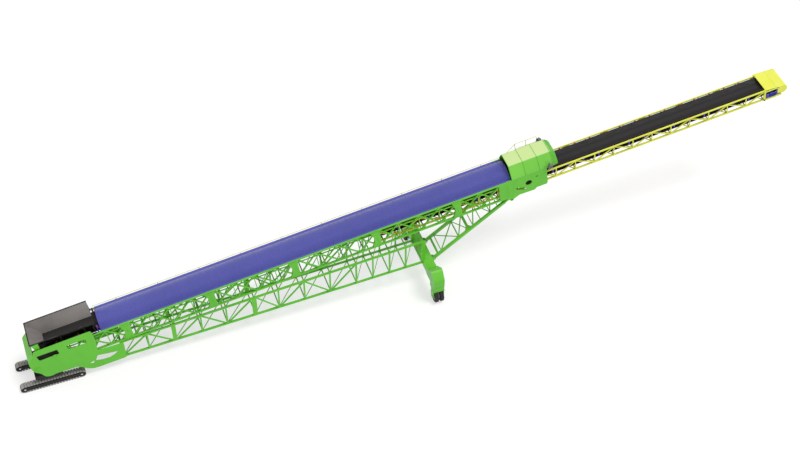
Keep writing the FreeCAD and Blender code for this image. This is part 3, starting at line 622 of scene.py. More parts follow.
for side, sign in SIDES:
    hub = np.array([axle_x, sign * GAUGE_HALF, TYRE_RADIUS])
    pair, nuts = [], []
    for start in (-TYRE_WIDTH - TYRE_GAP, TYRE_GAP):
        pair.append([hub + [start, 0, 0], (1, 0, 0), (0, 1, 0), (0, 0, 1)])
    for turn in full_turn(10):
        across, up = NUT_CIRCLE * math.cos(turn), NUT_CIRCLE * math.sin(turn)
        for out in (-1, 1):
            spot = hub + [out * 0.1045, across, up]
            nuts.append([spot, (out, 0, 0), (0, 1, 0), (0, 0, out)])
    wheels = f"wheels_{side}"
    stand(
        f"tyre_pair_{side}", [copies(tyre, pair)], tyre_rubber, wheels, "tyre_rubber",
        f"tyres_{side}",
    )
    stand(f"wheel_nuts_{side}", [copies(nut, nuts)], bright_steel, wheels, "bare_steel")

# Splice plates on the boom's chords at each section joint, and their bolts:
# flat bars laid over the joint on the outside of both sides. From here on the
# conveyor is set out along its slope, from the luffing pin.
FIRST_JOINT = 2.381
SECTION = 2.901
BOOM_FACE = 0.542
BAR = 0.006
section_joints = FIRST_JOINT + SECTION * np.arange(5)
along = np.array(joints["telescope"]["axis"], float)
above = np.array([-along[2], 0.0, along[0]])
SLOPE = math.atan2(along[2], along[0])


def stand_on_boom(name, shapes, finish, slot, *stood_for, body="boom"):
    """Makes a piece that is drawn along the boom, and sets it in its place."""
    placed = [copies(united(*shapes), [[luff_pin, along, [0, 1, 0], above]])]
    stand(name, placed, finish, body, slot, *stood_for)


def unit(way):
    """A direction of length one."""
    return way / np.linalg.norm(way)


def bolted(spots, out, radius=0.011, height=0.009):
    """Hexagon bolt heads at points of the boom, all facing one way."""
    head = turned([(0, radius), (0.7 * height, radius), (height, 0.8 * radius)], 6)
    out = np.array(out, float)
    side = unit(np.cross(out, [0, 0, 1.0])) if abs(out[2]) < 0.5 else np.array([1.0, 0, 0])
    return copies(head, [[spot, out, side, np.cross(out, side)] for spot in spots])


splices = []
for joint in section_joints:
    for level in (0.308, -0.472):
        for side in (-1, 1):
            face = side * (BOOM_FACE + BAR)
            splices.append(slab(
                (joint - 0.14, side * BOOM_FACE, level - 0.02), (joint + 0.14, face, level + 0.02)
            ))
            row = [(joint + step, face, level) for step in
                   (-0.12, -0.085, -0.05, 0.05, 0.085, 0.12)]
            splices.append(bolted(row, (0, side, 0)))
stand_on_boom("boom_splices", splices, green_paint, "green_paint")

# Gussets on the boom's sides at the section joints: one waisted plate each,
# as wide as a hand at its middle, welded over the post and bolted to it.
CHORD_LOW = -0.444
CHORD_HIGH = 0.28
levels = np.linspace(-1, 1, 15)
waist = 0.05 + 0.1 * np.abs(levels) ** 1.5
heights = (CHORD_LOW + CHORD_HIGH) / 2 + levels * (CHORD_HIGH - CHORD_LOW) / 2
gusset_edge = np.concatenate([
    np.stack([-waist, heights], -1), np.stack([waist, heights], -1)[::-1],
])
gussets = []
for joint in section_joints:
    spots = []
    for level, wide in ((0.245, 0.12), (0.2, 0.09), (-0.365, 0.09), (-0.41, 0.12)):
        spots += [(joint + step, level) for step in (-wide, -wide / 3, wide / 3, wide)]
    for side in (-1, 1):
        for y in (BOOM_FACE + 0.0005, BOOM_FACE - 0.055):
            gussets.append(cut_plate(gusset_edge + [joint, 0], [], side * y, side * (y + 0.005)))
        face = side * (BOOM_FACE + 0.0055)
        gussets.append(bolted([(x, face, z) for x, z in spots], (0, side, 0), 0.009, 0.007))
stand_on_boom("boom_gussets", gussets, green_paint, "green_paint")

# Head plates: heavy plates that close the boom's sides at its head, cut with a
# round hole and two slots, and carried down to the ear of the strut's pin. A
# near-black sheet closes the round hole from inside: painted shade for the dark beyond it.
EAR = (15.96, -0.6)
HEAD_IN = 0.512
ROUND_HOLE = (16.608, -0.062)
lower_turn = np.linspace(np.pi, 2 * np.pi, 13)
ear_edge = np.stack([np.cos(lower_turn), np.sin(lower_turn)], -1) * 0.072 + EAR
head_edge = np.concatenate([
    [(15.78, 0.356), (15.78, -0.47), (15.81, -0.531)], ear_edge,
    [(16.25, -0.5), (16.8, -0.52), (16.88, -0.44), (17.25, -0.44), (17.29, -0.38), (17.29, 0.356)],
])
head_holes = [
    circle(*ROUND_HOLE, 0.118), circle(*EAR, 0.031),
    eased([(16.17, -0.1), (16.5, -0.25), (16.55, -0.33), (16.45, -0.35), (16.13, -0.2)], 0.02),
    eased([(16.86, 0.09), (16.96, 0.09), (16.96, 0.14), (16.86, 0.14)], 0.02),
]
for side, sign in SIDES:
    face = sign * BOOM_FACE
    spots = [(x, face, z) for x in (15.82, 15.87) for z in np.arange(-0.4, 0.31, 0.1)]
    spots += [(x, face, 0.315) for x in np.arange(15.97, 17.25, 0.11)]
    parts = [cut_plate(head_edge, head_holes, sign * HEAD_IN, face), bolted(spots, (0, sign, 0))]
    stand_on_boom(f"head_side_{side}", parts, green_paint, "green_paint", f"head_plate_{side}")
    # A near-black disc behind the round hole: painted shade.
    hole_shade = cut_plate(circle(*ROUND_HOLE, 0.15), [], sign * 0.506, sign * 0.511)
    stand_on_boom(f"head_hole_shade_{side}", [hole_shade], lining_paint, "dark_steel")

# Lifting strut: two square tubes with flat rungs and crossed bracing between
# them, hinged on the beam, and open at the top for the sliding tubes.
foot = np.array(joints["strut_pivot"]["pos_m"], float)
strut_way = np.array(joints["strut_extend"]["axis"], float)
strut_up = np.array([-strut_way[2], 0.0, strut_way[0]])
upper_pin = luff_pin + EAR[0] * along + EAR[1] * above
strut_length = float(np.linalg.norm(upper_pin - foot))
TUBE_OUT = 0.458
TUBE_IN = 0.368
TUBE_MIDDLE = 0.413
TUBE_HALF = 0.045
COLLAR_HALF = 0.053
open_end = strut_length - 0.26


def strips(ends, half, low, high):
    """Flat bars between pairs of points (x, y), from one level to another."""
    frames = []
    for x0, y0, x1, y1 in ends:
        way = np.array([x1 - x0, y1 - y0, 0.0])
        frames.append([(x0, y0, 0), way, unit([-way[1], way[0], 0.0]), (0, 0, 1)])
    return copies(slab((0, -half, low), (1, half, high)), frames)


rungs = strut_length * np.array([0.06, 0.105, 0.334, 0.462, 0.52, 0.618, 0.74, 0.837, 0.91])
parts = []
for x, half in zip(rungs, (0.034, 0.012, 0.02, 0.046, 0.012, 0.012, 0.012, 0.012, 0.016)):
    parts.append(slab((x - half, -TUBE_IN, -0.02), (x + half, TUBE_IN, 0.02), 0.003))
braces = []
for number, kind in enumerate(("cross", "cross", None, "rise", "fall", "rise", "fall"), 1):
    x0, x1 = rungs[number], rungs[number + 1]
    if kind in ("cross", "rise"):
        braces.append((x0, -TUBE_IN, x1, TUBE_IN))
    if kind in ("cross", "fall"):
        braces.append((x0, TUBE_IN, x1, -TUBE_IN))
parts.append(strips(braces, 0.014, -0.016, 0.016))
for sign in (-1, 1):
    tube = []
    for x, thin in ((-0.06, 0), (open_end, 0), (open_end, 0.008), (0.24, 0.008)):
        y0, y1 = sign * (TUBE_IN + thin), sign * (TUBE_OUT - thin)
        z = TUBE_HALF - thin
        tube.append([(x, y0, -z), (x, y1, -z), (x, y1, z), (x, y0, z)])
    parts.append(skin(tube))
    middle = rungs[3]
    wedge = [(middle - 0.15, sign * TUBE_IN), (middle + 0.15, sign * TUBE_IN),
             (middle, sign * 0.158)]
    parts.append(swapped(cut_plate(wedge, [], -0.014, 0.014), 0, 2, 1))
    y = sign * TUBE_MIDDLE
    parts.append(slab((open_end - 0.07, y - COLLAR_HALF, -COLLAR_HALF),
                      (open_end - 0.055, y + COLLAR_HALF, COLLAR_HALF), 0.004))
strut = copies(united(*parts), [[foot, strut_way, (0, 1, 0), strut_up]])
stand("strut_ladder", [strut], green_paint, "strut_lower", "green_paint", "strut_frame")

# Belt cover: arched sheets of corrugated steel with a blue coating, laid
# across the boom and held down through a flat edge strip on each side.
COVER_START = 1.657
COVER_END = 16.009
COVER_FOOT = 0.336
ARCH_RADIUS = 0.53577
ARCH_CENTRE = 0.04523
SHEET = 0.006
RIDGE_PITCH = 0.038
RIDGE_HEIGHT = 0.0055
stations = np.arange(COVER_START, COVER_END, RIDGE_PITCH / 5)[:, None]
reach = math.acos((COVER_FOOT - ARCH_CENTRE) / ARCH_RADIUS)
sweep = np.linspace(-reach, reach, 15)
wave = RIDGE_HEIGHT * np.cos(2 * np.pi * stations / RIDGE_PITCH)
layers = []
for depth, turn in ((0.0, sweep), (SHEET, sweep[::-1])):
    radius = ARCH_RADIUS - depth + wave
    x = np.broadcast_to(stations, (len(stations), len(turn)))
    layers.append(np.stack([x, radius * np.sin(turn), ARCH_CENTRE + radius * np.cos(turn)], -1))
cover = [skin(np.concatenate(layers, 1))]
top = COVER_FOOT + SHEET
for side, edge in ((-1, 0.507), (1, 0.546)):
    cover.append(slab((COVER_START, side * 0.437, COVER_FOOT), (COVER_END, side * edge, top)))
    row = [(x, side * 0.485, top) for x in np.arange(1.72, 16.0, 0.19)]
    cover.append(bolted(row, (0, 0, 1), 0.008, 0.006))
blue_coat = Finish("blue_coated_sheet", (88, 92, 176), 0.42, coat=0.15)
panel_tone = blue_coat.noise(0.55, 2, (1, 0.2, 0.2), SLOPE).between(0.35, 0.65)
washed = blue_coat.noise(26, 4, (1, 0.12, 0.12), SLOPE).between(0.45, 0.8)
# Upward faces are painted paler: a painted reflection of the bright sky.
painted_sky_sheen = blue_coat.facing.axis("Z").between(0.55, 1)
tone = blue_coat.mix(panel_tone * 0.3, (64, 66, 152), (76, 79, 166))
tone = blue_coat.mix(washed * 0.3, tone, (50, 50, 124))
blue_coat.give(Base_Color=blue_coat.mix(painted_sky_sheen * 0.3, tone, (96, 100, 178)))
blue_coat.give(Roughness=0.36 + 0.2 * washed)
blue_coat.bump(blue_coat.noise(120, 3), 0.0004, 0.4)
stand_on_boom("corrugated_cover", cover, blue_coat, "blue_sheet", "belt_cover")

# Belts: endless rubber bands with fabric plies, troughed over the rollers and
# flat round their drums. The middle of a belt is paler than its edges,
# and the drums of the inner belt are lagged with grooved rubber.
BELT_THICK = 0.008
OUTER_BELT = {
    "level": 0.33, "drum": 0.086, "floor": 0.125, "wing": 0.205, "angle": math.radians(20),
}
INNER_BELT = {
    "level": -0.07, "drum": 0.106, "floor": 0.14, "wing": 0.205, "angle": math.radians(24),
}
INNER_ENDS = {"tail": 11.42, "head": 26.098}
inner_axle = INNER_BELT["level"] - INNER_BELT["drum"]
belt_rubber = Finish("conveyor_belt_rubber", (50, 47, 47), 0.6, specular=0.25)
middle = 1 - abs(belt_rubber.place.axis("Y")).between(0.03, 0.16)
drag = belt_rubber.noise(6, 4, (0.15, 6, 6), SLOPE).between(0.35, 0.75)
tone = belt_rubber.mix(drag * 0.5, (22, 20, 20), (36, 33, 33))
belt_rubber.give(Base_Color=belt_rubber.mix(middle * 0.4, tone, (54, 50, 50)))
belt_rubber.give(Roughness=0.5 + 0.25 * drag)
belt_rubber.bump(belt_rubber.noise(180, 3), 0.0006, 0.5)


def endless_belt(tail, head, level, drum, floor, wing, angle):
    """A belt round two drums, as rings of a band set along its path.

    The path is a run on top, a half circle, a run below and a half circle. On
    the top run each half of the section bends up beyond the floor, by the
    smooth form (|y| - floor) tan a, and fades out towards the drums.
    """
    bend = np.linspace(np.pi / 2, -np.pi / 2, 14)[1:-1]
    run = np.linspace(tail, head, 90)
    below = np.linspace(head, tail, 30)
    still = 0 * bend
    u = np.concatenate([run, head + drum * np.cos(bend), below, tail - drum * np.cos(bend)])
    v = drum * np.concatenate([0 * run, np.sin(bend) - 1, 0 * below - 2, -np.sin(bend) - 1])
    out = np.concatenate([0 * run + np.pi / 2, bend, 0 * below - np.pi / 2, np.pi - bend])
    fade = np.clip(np.minimum(run - tail, head - run) / 0.5, 0, 1)
    lift = np.concatenate([fade * fade * (3 - 2 * fade), still, 0 * below, still])
    half = floor + wing * math.cos(angle)
    y = np.linspace(-half, half, 19)
    over = np.abs(y) - floor
    rise = math.tan(angle) * (over + np.sqrt(over ** 2 + 0.0006)) / 2
    top = lift[:, None] * (rise - rise.min())
    sections = []
    for depth, order in ((0.0, 1), (BELT_THICK, -1)):
        off = (top - depth)[:, ::order]
        sections.append(np.stack([
            u[:, None] + off * np.cos(out)[:, None], np.broadcast_to(y[::order], off.shape),
            level + v[:, None] + off * np.sin(out)[:, None],
        ], -1))
    return skin(np.concatenate(sections, 1), closed=True)


belt = endless_belt(-0.41, 16.9, **OUTER_BELT)
stand_on_boom("outer_troughed_belt", [belt], belt_rubber, "belt_rubber", "outer_belt")
belt = endless_belt(INNER_ENDS["tail"], INNER_ENDS["head"], **INNER_BELT)
stand_on_boom(
    "inner_troughed_belt", [belt], belt_rubber, "belt_rubber", "inner_belt", body="inner_boom"
)
lagging = two_tone(
    "drum_lagging", (48, 46, 45), (84, 82, 80), (20, 3, 0.4, 0.6), (0.7, 0.0),
    (220, 3, 0.0005, 0.5), stretch=(4, 0.3, 4),
)
drum_profile = [
    (-0.37, 0.03), (-0.345, 0.03), (-0.345, 0.09), (-0.341, 0.0975), (0, 0.0978),
    (0.341, 0.0975), (0.345, 0.09), (0.345, 0.03), (0.37, 0.03),
]
for name, station in INNER_ENDS.items():
    drum = copies(turned(drum_profile, 36), [sideways((station, 0, inner_axle), 1)])
    stand_on_boom(
        f"inner_drum_{name}", [drum], lagging, "bare_steel", f"inner_{name}_drum",
        body="inner_boom",
    )

# Idlers: sets of three steel rollers in a trough, each held by its spindle in
# brackets on a channel that spans the boom, and two upright rollers that guide
# the belt's edges into the cover. Rollers are red, brackets blue.
ROLLER = 0.032
GUIDE = (1.58, 0.364)
red_paint = two_tone(
    "red_roller_paint", (196, 34, 46), (120, 30, 36), (30, 4, 0.5, 0.75), (0.32, 0.25),
    (100, 3, 0.0004, 0.4), share=0.5, coat=0.2,
)
blue_paint = two_tone(
    "blue_bracket_paint", (48, 50, 166), (24, 24, 84), (18, 4, 0.45, 0.8), (0.35, 0.3),
    (90, 3, 0.0005, 0.4), share=0.5, coat=0.2,
)


def roller(length):
    """A tube roller: rounded shell ends, recessed caps and the spindle."""
    shell = [
        (-0.014, 0.006), (0.003, 0.006), (0.003, ROLLER - 0.007), (0.0, ROLLER - 0.003),
        (0.0, ROLLER - 0.001), (0.002, ROLLER),
    ]
    return turned(shell + [(length - x, radius) for x, radius in reversed(shell)], 20)


def trough_sets(stations, reach, level, drum, floor, wing, angle):
    """Rollers under a belt, and their brackets, at stations along the boom."""
    under = level - BELT_THICK - 0.001
    axis = under - ROLLER
    c, n = math.cos(angle), math.sin(angle)
    start = np.array([floor + ROLLER * n + 0.014 * c, under - ROLLER * c + 0.014 * n])
    length = wing + 0.02
    end = start + (length + 0.016) * np.array([c, n])
    rollers = [copies(roller(2 * floor - 0.016), [sideways((0, 0.008 - floor, axis), 1)])]
    top = axis - ROLLER - 0.006
    frames = [slab((-0.025, -reach, top - 0.006), (0.025, reach, top))]
    for x in (-0.025, 0.019):
        frames.append(slab((x, -reach, top - 0.034), (x + 0.006, reach, top - 0.006)))
    for side in (-1, 1):
        lean = [(0, side * start[0], start[1]), (0, side * c, n), (1, 0, 0), (0, -side * n, c)]
        rollers.append(copies(roller(length), [lean]))
        for y, height in ((floor + 0.002, axis + 0.012), (end[0], end[1] + 0.03)):
            frames.append(slab((-0.022, side * y, top), (0.022, side * (y + 0.008), height)))
            low, high = sorted((side * y, side * (y + 0.008)))
            frames.append(slab((-0.024, low - 0.01, top), (0.024, high + 0.01, top + 0.006)))
    spots = [[(x, 0, 0), (1, 0, 0), (0, 1, 0), (0, 0, 1)] for x in stations]
    return copies(united(*rollers), spots), copies(united(*frames), spots)


inner_sets = 11.92 + 0.565 * np.arange(24)
rollers, frames = trough_sets(inner_sets, 0.37, **INNER_BELT)
stand_on_boom("inner_rollers", [rollers], red_paint, None, body="inner_boom")
stand_on_boom("inner_roller_brackets", [frames], blue_paint, None, body="inner_boom")
outer_sets = FIRST_JOINT + SECTION / 4 * np.arange(-3, 19)
rollers, frames = trough_sets(outer_sets, 0.492, **OUTER_BELT)
guides, holders = [], [frames]
for side in (-1, 1):
    guides.append([(GUIDE[0], side * GUIDE[1], 0.362), (0, 0, 1), (1, 0, 0), (0, 1, 0)])
    for inner, outer, low, high, bevel in (
        (0.33, 0.53, 0.337, 0.347, 0.002), (0.404, 0.412, 0.347, 0.5, 0),
        (0.34, 0.412, 0.488, 0.496, 0),
    ):
        holders.append(slab((1.56, side * inner, low), (1.6, side * outer, high), bevel))
stand_on_boom("outer_rollers", [rollers, copies(roller(0.112), guides)], red_paint, None)
stand_on_boom("outer_roller_brackets", holders, blue_paint, None)

# Hopper: three flared walls of wear plate, open towards the cover, with bolted
# liners inside, a flat bar round the rim, black ribs outside and green legs.
RIM = 0.83
MOUTH = 0.372
RIM_HALF = 0.475
MOUTH_HALF = 0.2
WALL = 0.012
REAR = -0.572
wear_plate = Finish("hopper_wear_plate", (140, 135, 130), 0.5, 0.15)
# The walls' outside faces and the rear wall's back are painted near-black: painted shade on faces
# turned down, away from the light.
cross = wear_plate.place.axis("Y") * wear_plate.facing.axis("Y")
outside_shade = cross.between(0.02, 0.06) + wear_plate.facing.axis("X").between(-0.2, -0.5)
slide = wear_plate.noise(5, 5, (0.5, 1, 0.25)).between(0.3, 0.75)
toward = wear_plate.place.axis("X").between(-12.9, -11.0)
tone = wear_plate.mix(slide * 0.6, (116, 111, 108), (138, 133, 129))
tone = wear_plate.mix(toward * 0.5, tone, (156, 151, 147))
wear_plate.give(Base_Color=wear_plate.mix(outside_shade, tone, (34, 32, 32)))
wear_plate.give(Roughness=0.42 + 0.25 * slide)
wear_plate.bump(wear_plate.noise(70, 4), 0.0008, 0.5)


def sheet(corners, thickness):
    """A flat sheet between four corners, thickened along its normal."""
    corners = np.asarray(corners, float)
    normal = np.cross(corners[1] - corners[0], corners[3] - corners[0])
    return skin([corners, corners + unit(normal) * thickness])


walls, bolts, ribs, legs = [], [], [], []
rim_low, rim_high = RIM - 0.006, RIM + 0.012
for side in (-1, 1):
    rim_y, foot_y = side * RIM_HALF, side * MOUTH_HALF
    walls.append(sheet([(REAR, rim_y, RIM), (1.505, rim_y, RIM), (1.505, foot_y, MOUTH),
                        (-0.17, foot_y, MOUTH)], side * WALL))
    down = np.array([0, foot_y - rim_y, MOUTH - RIM])
    inside = unit([0, -side * abs(down[2]), abs(down[1])])
    for share in (0.1, 0.5, 0.9):
        for u in np.arange(-0.12 - 0.3 * (share < 0.3), 1.45, 0.156):
            spot = np.array([u, rim_y, RIM]) + share * down
            bolts.append([spot, inside, (1, 0, 0), np.cross(inside, [1, 0, 0])])
    rib = np.array([(0.37, 0.345), (0.37, 0.64), (0.478, 0.824), (0.505, 0.824),
                    (0.536, 0.45), (0.536, 0.34)]) * [side, 1]
    hole = circle(side * 0.45, 0.5, 0.035, 16)
    for u in (-0.3, 0.42, 1.2, 1.49):
        ribs.append(swapped(cut_plate(rib, [hole], u, u + 0.01), 1, 0, 2))
    ribs.append(slab((-0.6, side * 0.47, rim_low), (1.51, side * 0.505, rim_high), 0.003))
    ribs.append(slab((-0.58, side * 0.49, 0.3365), (1.52, side * 0.536, 0.35), 0.003))
    leg = [(-0.47, 0.37), (-0.36, 0.34), (-0.32, 0.6), (-0.32, 0.81), (-0.545, 0.81), (-0.49, 0.6)]
    legs.append(cut_plate(leg, [], side * 0.464, side * 0.512))
walls.append(sheet([(REAR, -RIM_HALF, RIM), (REAR, RIM_HALF, RIM), (-0.17, MOUTH_HALF, MOUTH),
                    (-0.17, -MOUTH_HALF, MOUTH)], WALL))
ribs.append(slab((-0.6, -0.505, rim_low), (-0.565, 0.505, rim_high), 0.003))
walls.append(copies(turned([(0, 0.012), (0.004, 0.012), (0.006, 0.009)], 8), bolts))
stand_on_boom(
    "hopper_walls", walls, wear_plate, "hopper_steel", "hopper_wall_near", "hopper_wall_far",
    "hopper_rear",
)
stand_on_boom("hopper_ribs", ribs, black_paint, "dark_steel")
stand_on_boom("hopper_legs", legs, green_paint, "green_paint")

# Head hood: folded sheet over the transfer point, with bolted joint bands and
# a darker collar that falls over its front edge. Its top is painted pale: a painted highlight.
HOOD_SHEET = 0.012
HOOD = (16.013, 17.54)
BAND = 0.016
hood_paint = paint("hood_paint", (128, 206, 78), DEEP_GREEN, (214, 230, 172), 0.3)
# Upward faces are painted pale: a painted highlight of the light falling on the top.
hood_top_highlight = hood_paint.facing.axis("Z").between(0.8, 0.97)
cloud = hood_paint.noise(1.2, 3).between(0.3, 0.75)
tone = hood_paint.mix(cloud * 0.2, (120, 202, 70), DEEP_GREEN)
hood_paint.give(Base_Color=hood_paint.mix(hood_top_highlight, tone, (198, 222, 148)))
band_paint = paint("hood_band_paint", (84, 170, 40), DEEP_GREEN, (180, 214, 140), 0.3)


def hood_shell(places):
    """Rings of the folded sheet: each place is (u, grow, drop).

    The outline is two upright edges, two slopes and a flat top. The inner
    outline is the same, one sheet further in.
    """
    rings = []
    for u, grow, drop in places:
        loops = []
        for g, order in ((grow, 1), (-HOOD_SHEET, -1)):
            half, flat = 0.542 + g - drop / 4, 0.302 + g - drop / 2
            crown, shoulder = 0.821 + g - drop, 0.416 + g / 2
            bent = eased([(-half, 0.3), (-half, shoulder), (-flat, crown), (flat, crown),
                          (half, shoulder), (half, 0.3)], 0.05, 4)[4:-4]
            edge = np.concatenate([[(-half, 0.356)], bent, [(half, 0.356)]])[::order]
            loops.append(np.insert(edge, 0, u, axis=1))
        rings.append(np.concatenate(loops))
    return skin(rings)


bands = [hood_shell([(HOOD[1] + 0.0005, 0, 0), (17.6, 0, 0.02), (17.67, 0, 0.06),
                     (17.712, 0, 0.12)])]
for u in (HOOD[0], 16.52, 17.03, HOOD[1] - 0.03):
    edges = ((u, 0.001), (u, 0.004), (u + BAND, 0.004), (u + BAND, 0.001))
    bands.append(hood_shell([(place, grow, 0) for place, grow in edges]))
    row = [(u + BAND / 2, y, 0.825) for y in np.arange(-0.24, 0.25, 0.12)]
    bands.append(bolted(row, (0, 0, 1), 0.007, 0.005))
shell = hood_shell([(HOOD[0], 0, 0), (HOOD[1], 0, 0)])
stand_on_boom("hood_sheet", [shell], hood_paint, "green_paint", "head_hood")
stand_on_boom("hood_bands", bands, band_paint, "green_paint")

# Floodlights: cast grey housings with cooling fins and a glass front, each on
# a bracket at a front corner of the hood.
lamp_grey = two_tone(
    "lamp_housing_grey", (112, 114, 116), (52, 54, 54), (40, 4, 0.4, 0.8), (0.4, 0.3),
    (120, 3, 0.0004, 0.4), share=0.5, metallic=0.2,
)
lens = two_tone(
    "lamp_glass", (232, 236, 236), (196, 202, 204), (60, 2, 0.4, 0.6), (0.06, 0.1),
    (90, 2, 0.0005, 0.4), coat=0.5,
)
housing = [
    slab((0, -0.06, -0.045), (0.1, 0.06, 0.045), 0.012),
    slab((0.1, -0.068, -0.053), (0.116, 0.068, 0.053), 0.01),
    slab((0.02, -0.074, -0.15), (0.07, 0.074, -0.14), 0.003),
]
for fin in np.arange(-0.05, 0.051, 0.02):
    housing.append(slab((-0.018, fin - 0.003, -0.04), (0.004, fin + 0.003, 0.04)))
for y in (-0.074, 0.066):
    housing.append(slab((0.03, y, -0.14), (0.06, y + 0.008, 0.02), 0.003))
glass = slab((0.1165, -0.058, -0.043), (0.119, 0.058, 0.043), 0.008)
spots, arms = [], []
for side, u, out, level in ((-1, 17.35, 0.625, 0.555), (1, 17.46, 0.605, 0.51)):
    lean = unit([0.82, side * 0.4, -0.4])
    across = unit(np.cross([0, 0, 1], lean))
    spots.append([(u, side * out, level), lean, across, np.cross(lean, across)])
    root = side * BOOM_FACE
    arms.append(slab((u - 0.03, root, level - 0.16), (u + 0.04, side * 0.68, level - 0.148), 0.003))
    arms.append(slab((17.2, root, level - 0.17), (u + 0.04, side * 0.554, level - 0.12), 0.003))
stand_on_boom("floodlights", [copies(united(*housing), spots)], lamp_grey, "dark_steel")
stand_on_boom("floodlight_glass", [copies(glass, spots)], lens, None)
stand_on_boom("floodlight_arms", arms, green_paint, "green_paint")

# Walkway: galvanised brackets along the far side under an open grating of
# bearing bars stood on edge and twisted cross bars, with a thin pale rail.
DECK = (1.62, 15.74)
DECK_LEVEL = -0.462
DECK_IN = 0.552
DECK_OUT = 0.872
zinc = two_tone(
    "galvanised_steel", (134, 137, 139), (176, 178, 180), (24, 4, 0.4, 0.65), (0.38, 0.2),
    (150, 3, 0.0004, 0.4), metallic=0.7,
)
rail_paint = two_tone(
    "rail_paint", (236, 220, 160), (190, 140, 100), (20, 5, 0.55, 0.8), (0.35, 0.35),
    (70, 3, 0.0005, 0.4), share=0.6, coat=0.2,
)
finish_nodes(zinc, "walkway")
finish_nodes(rail_paint, "handrail")
grating = []
for y in np.arange(0.556, DECK_OUT, 0.024):
    grating.append(slab((DECK[0], y - 0.002, DECK_LEVEL - 0.006),
                        (DECK[1], y + 0.002, DECK_LEVEL + 0.004)))
rod = slab((-0.002, DECK_IN, DECK_LEVEL), (0.002, DECK_OUT, DECK_LEVEL + 0.004))
rods = [[(x, 0, 0), (1, 0, 0), (0, 1, 0), (0, 0, 1)] for x in np.arange(*DECK, 0.08)]
grating.append(copies(rod, rods))
for y in (0.548, 0.87):
    grating.append(slab((DECK[0], y, DECK_LEVEL - 0.006), (DECK[1], y + 0.004, DECK_LEVEL + 0.012)))
stand_on_boom("walkway_grating", grating, zinc, "galvanised_deck")

# Landing at the hood: a raised deck on two bent brackets bolted to the head
# plate, with a rail of bent tube that comes up from the walkway's rail.
LANDING = (16.66, 17.54)
OUTSIDE = 0.867


def pipes(ends, radius):
    """Round bars between pairs of points."""
    frames = []
    for start, end in np.asarray(ends, float):
        way = end - start
        side = unit(np.cross(way, [0.31, 0.22, 0.93]))
        frames.append([start, way, side, np.cross(unit(way), side)])
    return copies(turned([(0, radius), (1, radius)], 12), frames)


deck = [slab((LANDING[0], 0.543, -0.09), (LANDING[1], 0.875, -0.08), 0.002)]
arm = [(0.543, -0.4), (0.555, -0.4), (0.86, -0.13), (0.875, -0.13), (0.875, -0.09), (0.543, -0.09)]
for x in (LANDING[0] + 0.03, 17.2):
    opening = [(0.57, -0.34), (0.79, -0.13), (0.57, -0.13)]
    deck.append(swapped(cut_plate(arm, [opening], x, x + 0.04), 1, 0, 2))
stand_on_boom("landing", deck, zinc, "galvanised_deck")
path = [
    ((15.7, 0.03), (16.25, 0.03)), ((16.25, 0.03), (16.6, 0.3)), ((16.6, 0.3), (16.72, 0.42)),
    ((16.72, 0.42), (17.48, 0.42)), ((17.48, 0.42), (17.53, 0.37)),
    ((17.53, 0.37), (17.53, -0.09)), ((16.72, 0.17), (17.53, 0.17)),
    ((16.72, 0.42), (16.72, -0.09)), ((17.12, 0.42), (17.12, -0.09)),
]
ends = [((x0, OUTSIDE, z0), (x1, OUTSIDE, z1)) for (x0, z0), (x1, z1) in path]
ends += [((17.53, OUTSIDE, z), (17.53, 0.548, z)) for z in (0.17, 0.37)]
stand_on_boom("landing_rail", [pipes(ends, 0.011)], rail_paint, "rail_paint")

# Inner boom: a slim lattice box of steel angle, painted yellow, that runs on
# rollers inside the outer one, with small plates at its own section joints.
yellow_paint = paint("gloss_yellow_paint", (228, 232, 78), (186, 186, 40), (240, 242, 170))
finish_nodes(yellow_paint, "inner_side_near", "inner_side_far", "inner_bottom_frame")

# Head box at the nose: a sheet rolled round the head drum, with a cheek and
# two rails on each side, and seams pressed across the lid.
BOX_TAIL = 25.525
NOSE = 26.37
BOX_HALF = 0.44
FOLD = 0.17
LID = 0.06
LID_FALL = 0.5 * math.tan(SLOPE)
BOX_SHEET = 0.012
cheek_start = NOSE - 0.37
fold_centre = LID - (NOSE - BOX_TAIL) * LID_FALL - FOLD
turn = np.linspace(math.pi / 2, -math.pi / 2, 20)
bend = np.stack([NOSE - FOLD + FOLD * np.cos(turn), fold_centre + FOLD * np.sin(turn)], -1)
outside = np.concatenate([[(BOX_TAIL, LID), (BOX_TAIL + 0.3, LID - 0.3 * LID_FALL)], bend])
way = np.gradient(outside, axis=0)
normal = np.stack([-way[:, 1], way[:, 0]], -1) / np.linalg.norm(way, axis=1, keepdims=True)
inside = outside - BOX_SHEET * normal
rings = np.stack([outside, outside, inside, inside], 1)
box_parts = [skin(np.insert(rings, 1, BOX_HALF * np.array([-1, 1, 1, -1]), axis=2))]
cheek = np.concatenate([[(cheek_start, -0.27), (cheek_start, LID - 0.475 * LID_FALL)], bend])
for side in (-1, 1):
    outer, inner, rail = side * (BOX_HALF + 0.002), side * (BOX_HALF - 0.012), side * 0.37
    box_parts += [
        cut_plate(cheek, [], inner, outer),
        slab((BOX_TAIL, inner, LID - 0.11), (NOSE - 0.33, outer, LID - 0.06)),
        slab((BOX_TAIL - 0.03, rail, -0.445), (NOSE - 0.2, side * BOX_HALF, -0.37), 0.003),
        slab((BOX_TAIL - 0.03, rail, -0.445), (BOX_TAIL + 0.02, side * BOX_HALF, LID - 0.012)),
    ]
    row = [(x, outer, LID - 0.03 - (x - BOX_TAIL) * LID_FALL)
           for x in np.arange(NOSE - 0.36, NOSE - 0.1, 0.08)]
    box_parts.append(bolted(row, (0, side, 0), 0.009, 0.007))
for x in (BOX_TAIL + 0.012, BOX_TAIL + 0.41):
    y, z = BOX_HALF + 0.003, LID - (x - BOX_TAIL) * LID_FALL
    box_parts.append(slab((x, -y, z - 0.004), (x + 0.03, y, z + 0.002)))
